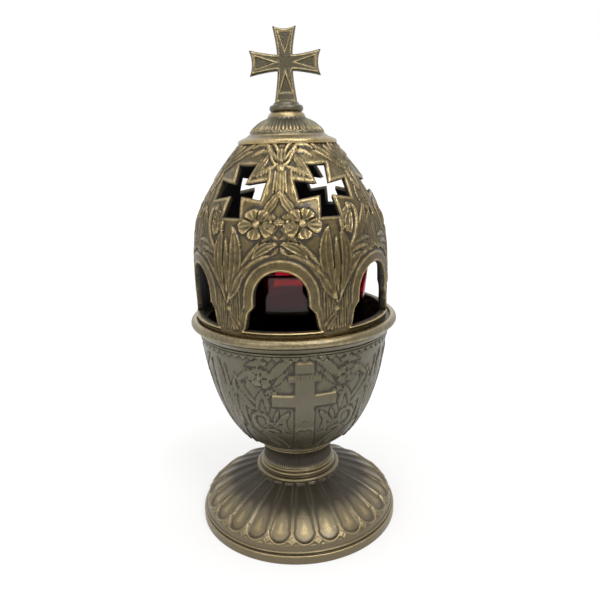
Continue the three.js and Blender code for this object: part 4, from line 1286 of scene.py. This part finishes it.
heights, rubbed_and_highlit_lines = face_height(face_x, face_z)
nought = np.zeros((1, 1))
middle_height = face_height(nought, nought)[0][0]
front, back = ([stand_up(x, side * h, z) for x, h, z in zip(face_x, heights, face_z)] for side in (-1, 1))
back_pole, front_pole = (stand_up(nought[0], side * middle_height, nought[0]) for side in (1, -1))
cross_points, cross_faces = stack_rings([back_pole] + back + front[::-1][1:] + [front_pole], closed=False)
# The thin lines lighten the face, partly as rubbed metal and partly as a painted highlight.
face_wear_and_light = list(np.clip(0.52 + 0.3 * (heights - (half_thick - 0.35)) + 0.22 * rubbed_and_highlit_lines, 0, 0.8))
print("cross of", len(cross_points), "points, face up to", heights.max().round(2), "mm")

# %% [markdown]
# The cross stands on a small round collar. It is one more turned profile, closed by lids that are
# only hundredths of a millimetre wide.

# %% Cross mesh
collar_path = trace(
    (0.01, finial_base),
    *from_corner(collar_reach, finial_base, [(-1.2, 0)], [(0.35, 0.1), (0.35, 2.9), (-1.3, 3.0)]),
    *from_corner(collar_reach, finial_base, [(-1.9, 3.3), (-2.2, 4.1)]),
    [(3.0, finial_base + 5.2), (0.01, finial_base + 5.2)],
    spacing=0.3,
)
collar_points, collar_faces = capped(list(turned(collar_path, around(COLLAR_COUNT), 0.0, dome_axis)))
pole_wear, collar_wear = np.full(1, 0.5), np.full(len(collar_points), 0.42)
finial = mesh_object(
    "cross_casting",
    np.concatenate([cross_points, collar_points]),
    cross_faces + [[len(cross_points) + i for i in face] for face in collar_faces],
    {"wear": np.concatenate([pole_wear] + face_wear_and_light + face_wear_and_light[::-1][1:] + [pole_wear, collar_wear])},
)
finish_piece(finial, "cover", "cross_finial", cast_bronze)

# %% [markdown]
# ## The ruby glass
# A loose votive glass with a heavy base: a turned profile with a melted, rounded rim. The glass
# is deep red all through, so it passes red light only where a bright window stands behind it. A
# true transmission with a wall of real thickness gives that, where a tinted sheet would not.

# %% Glass
GLASS_COUNT = 144
base_radius, glass_wall, glass_floor = 28.8, 2.4, glass_base + 6.0
inner_base = base_radius - glass_wall
glass_path = trace(
    (0.01, glass_base),
    [(base_radius - 2, glass_base)],
    [(base_radius, glass_base), (base_radius + 0.2, glass_base + 2)],
    *from_corner(glass_radius, glass_top, [(-0.02, -1.4)], [(0, 0), (-glass_wall / 2, 0)]),
    *from_corner(glass_radius, glass_top, [(-glass_wall, 0), (-glass_wall, -1.4)]),
    *from_corner(inner_base, glass_floor, [(0.3, 3)], [(0, 0), (-3, 0)]),
    [(0.01, glass_floor)],
    spacing=1.2,
)
glass = mesh_object("ruby_cup", *capped(list(turned(glass_path, around(GLASS_COUNT)))))
ruby = material("ruby_glass")
ripple = ruby.noise(40, 2)
ruby_glass = ruby.surface({
    "Base Color": ruby.mix(ruby.step(0.3, 0.7, ripple), rgb(0.56, 0.010, 0.030), rgb(0.46, 0.006, 0.022)),
    "Roughness": 0.04 + ripple * 0.04,
    "Transmission Weight": 1.0,
    "IOR": 1.45,
    "Normal": ruby.bump(ripple, 0.05, 0.0005),
})
finish_piece(glass, "glass", "glass_cup", ruby_glass)

# %% [markdown]
# ## The small pieces
# The floating wick and the fasteners keep their CAD shapes. Each gets the finish it really has.


# %% Small materials
def plain_metal(name, light, dark, roughness, scale):
    """Turned or stamped metal with fine scratches and cloudy tarnish."""
    skin = material(name)
    cloud, fine = skin.noise(scale, 5), skin.noise(3000, 2)
    return skin.surface({
        "Base Color": skin.mix(skin.step(0.35, 0.7, cloud), light, dark),
        "Metallic": 1.0,
        "Roughness": roughness + cloud * 0.15 + (fine - 0.5) * 0.08,
        "Normal": skin.bump(fine, 0.12, 0.00005),
    })


def soft_stuff(name, light, dark, scale, depth):
    """Cork or cotton: speckled colour and a rough, pitted skin."""
    skin = material(name)
    speck, body = skin.noise(scale, 6, 0.7), skin.noise(scale / 6, 3)
    return skin.surface({
        "Base Color": skin.mix(skin.step(0.42, 0.60, speck * 0.6 + body * 0.4), dark, light),
        "Roughness": 0.82 + (speck - 0.5) * 0.15,
        "Normal": skin.bump(speck, 0.6, depth),
    })


steel = plain_metal("zinc_steel", rgb(0.52, 0.53, 0.54), rgb(0.36, 0.36, 0.37), 0.32, 150)
brass = plain_metal("dull_brass", rgb(0.62, 0.49, 0.25), rgb(0.40, 0.30, 0.14), 0.34, 150)
tin = plain_metal("dull_tin", rgb(0.66, 0.66, 0.64), rgb(0.46, 0.46, 0.45), 0.36, 200)
cork = soft_stuff("cork", rgb(0.46, 0.29, 0.15), rgb(0.17, 0.09, 0.04), 700, 0.0005)
cotton = soft_stuff("waxed_cotton", rgb(0.78, 0.74, 0.64), rgb(0.55, 0.50, 0.40), 2500, 0.0002)
kept = {
    "tie_bolt": steel, "tie_nut": steel, "bowl_washer": brass, "foot_washer": brass,
    "finial_stud": brass, "finial_washer": brass, "finial_nut": brass,
    "float_cork": cork, "float_plate": tin, "wick_tube": tin, "wick": cotton,
}
for node, finish in kept.items():
    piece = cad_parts[node]
    piece.data.materials.clear()
    piece.data.materials.append(finish)
print(len(kept), "CAD nodes keep their shape")

# %% [markdown]
# ## Studio
# A pale table and a white room. The metal needs something to reflect: the room is nearly white
# behind the lamp, and dimmer and warmer in front, most of all high up. The camera, and light that
# comes through the glass, see plain white. The table takes the lamp's shadow close to it and
# fades to white further out.

# %% Floor and room
FLOOR_SIZE = 4000
corners = [(x * FLOOR_SIZE, y * FLOOR_SIZE, 0) for x, y in ((-1, -1), (1, -1), (1, 1), (-1, 1))]
floor = mesh_object("table_top", corners, [(0, 1, 2, 3)])
table = material("table")
camera_ray = table.node("ShaderNodeLightPath", output="Is Camera Ray")
lit = table.node("ShaderNodeBsdfDiffuse", {}, {"Color": rgb(0.78, 0.78, 0.78)})
white = table.node("ShaderNodeEmission", {}, {"Color": rgb(1, 1, 1), "Strength": 1.12})
distance = table.node("ShaderNodeVectorMath", {"operation": "LENGTH"}, {0: table.place()}, output="Value")
faded = camera_ray * (0.55 + table.step(0.08, 0.20, distance) * 0.45)
table_look = table.node("ShaderNodeMixShader", {}, {0: faded, 1: lit, 2: white})
table.node("ShaderNodeOutputMaterial", {}, {"Surface": table_look})
floor.data.materials.append(table.owner)

world = bpy.data.worlds.new("room")
bpy.context.scene.world = world
room = Shader(world)
rays = [room.node("ShaderNodeLightPath", output=kind) for kind in ("Is Camera Ray", "Is Transmission Ray")]
direction = room.node("ShaderNodeTexCoord", output="Generated")
to_back, to_top = (room.node("ShaderNodeSeparateXYZ", {}, {0: direction}, output=axis) for axis in (1, 2))
plain = room.math("MINIMUM", rays[0] + rays[1], 1.0)
front = room.step(0.1, -0.7, to_back)
brightness = room.math("MAXIMUM", plain, 0.85 - front * (0.35 + room.step(0.0, 0.4, to_top) * 0.25))
tint = room.mix(front * (1 - plain), rgb(1, 1, 1), rgb(1.0, 0.88, 0.70))
backdrop = room.node("ShaderNodeBackground", {}, {"Color": tint, "Strength": brightness})
room.node("ShaderNodeOutputWorld", {}, {"Surface": backdrop})
print("table and room have", len(table.tree.nodes), "and", len(room.tree.nodes), "nodes")

# %% [markdown]
# Three soft lamps shape the metal: a key from the front right, a weaker fill from the left and one
# overhead that lights the foot's bell and the cap. Large lamps give the wide, soft highlights that
# old bronze shows.


# %% Lamps
def facing(back, right, up, place):
    """A matrix whose columns are the unit vectors right, up and back, and a place."""
    return Matrix([[right[i], up[i], back[i], place[i]] for i in range(3)] + [[0, 0, 0, 1]])


def lamp(name, place, target, size, power):
    """A square soft lamp that faces a target, in metres: back points from the target to the lamp,
    right is the level direction square to it, and up is square to both."""
    light = bpy.data.lights.new(name, "AREA")
    light.shape, light.size, light.energy = "SQUARE", size, power
    back = np.array(place, float) - np.array(target, float)
    back /= np.linalg.norm(back)
    right = np.cross((0, 0, 1), back)
    right /= np.linalg.norm(right)
    new_object(name, light).matrix_world = facing(back, right, np.cross(back, right), place)


lamp("key", (0.35, -0.75, 0.85), (0, 0, 0.14), 0.35, 5)
lamp("fill", (-0.55, -0.65, 0.55), (0, 0, 0.12), 0.4, 2)
lamp("top", (0.0, -0.2, 1.1), (0, 0, 0.1), 0.6, 3.4)
print("lamps:", [light.name for light in bpy.data.lights])

# %% [markdown]
# ## Camera
# The photograph was taken from close by, a little above the dome's middle, with a slight tilt of
# the phone. Distance, height and angles were solved from the lamp's round edges in the photograph.

# %% Camera
DISTANCE, CAMERA_HEIGHT = 294.3, 192.3
pitch, yaw, roll, stand = (angle * DEGREE for angle in (14.14, 0.67, -1.50, -5.15))
FOCAL_SHARE = 584.0 / 600
turn = np.array([[math.cos(stand), -math.sin(stand), 0], [math.sin(stand), math.cos(stand), 0], [0, 0, 1]])
forward = turn @ [math.sin(yaw) * math.cos(pitch), math.cos(yaw) * math.cos(pitch), -math.sin(pitch)]
level = turn @ [math.cos(yaw), -math.sin(yaw), 0]
upright = np.cross(level, forward)
right = math.cos(roll) * level + math.sin(roll) * upright
up = math.cos(roll) * upright - math.sin(roll) * level
eye = turn @ [0, -DISTANCE, CAMERA_HEIGHT] * MM
lens = bpy.data.cameras.new("photo_view")
lens.sensor_width = 36
lens.lens = lens.sensor_width * FOCAL_SHARE
lens.clip_start, lens.clip_end = 0.01, 20
camera = new_object("photo_view", lens)
camera.matrix_world = facing(-forward, right, up, eye)
bpy.context.scene.camera = camera
bpy.context.scene.view_settings.view_transform = "Standard"
print("camera at", eye.round(3), "with a lens of", round(lens.lens, 2), "mm")
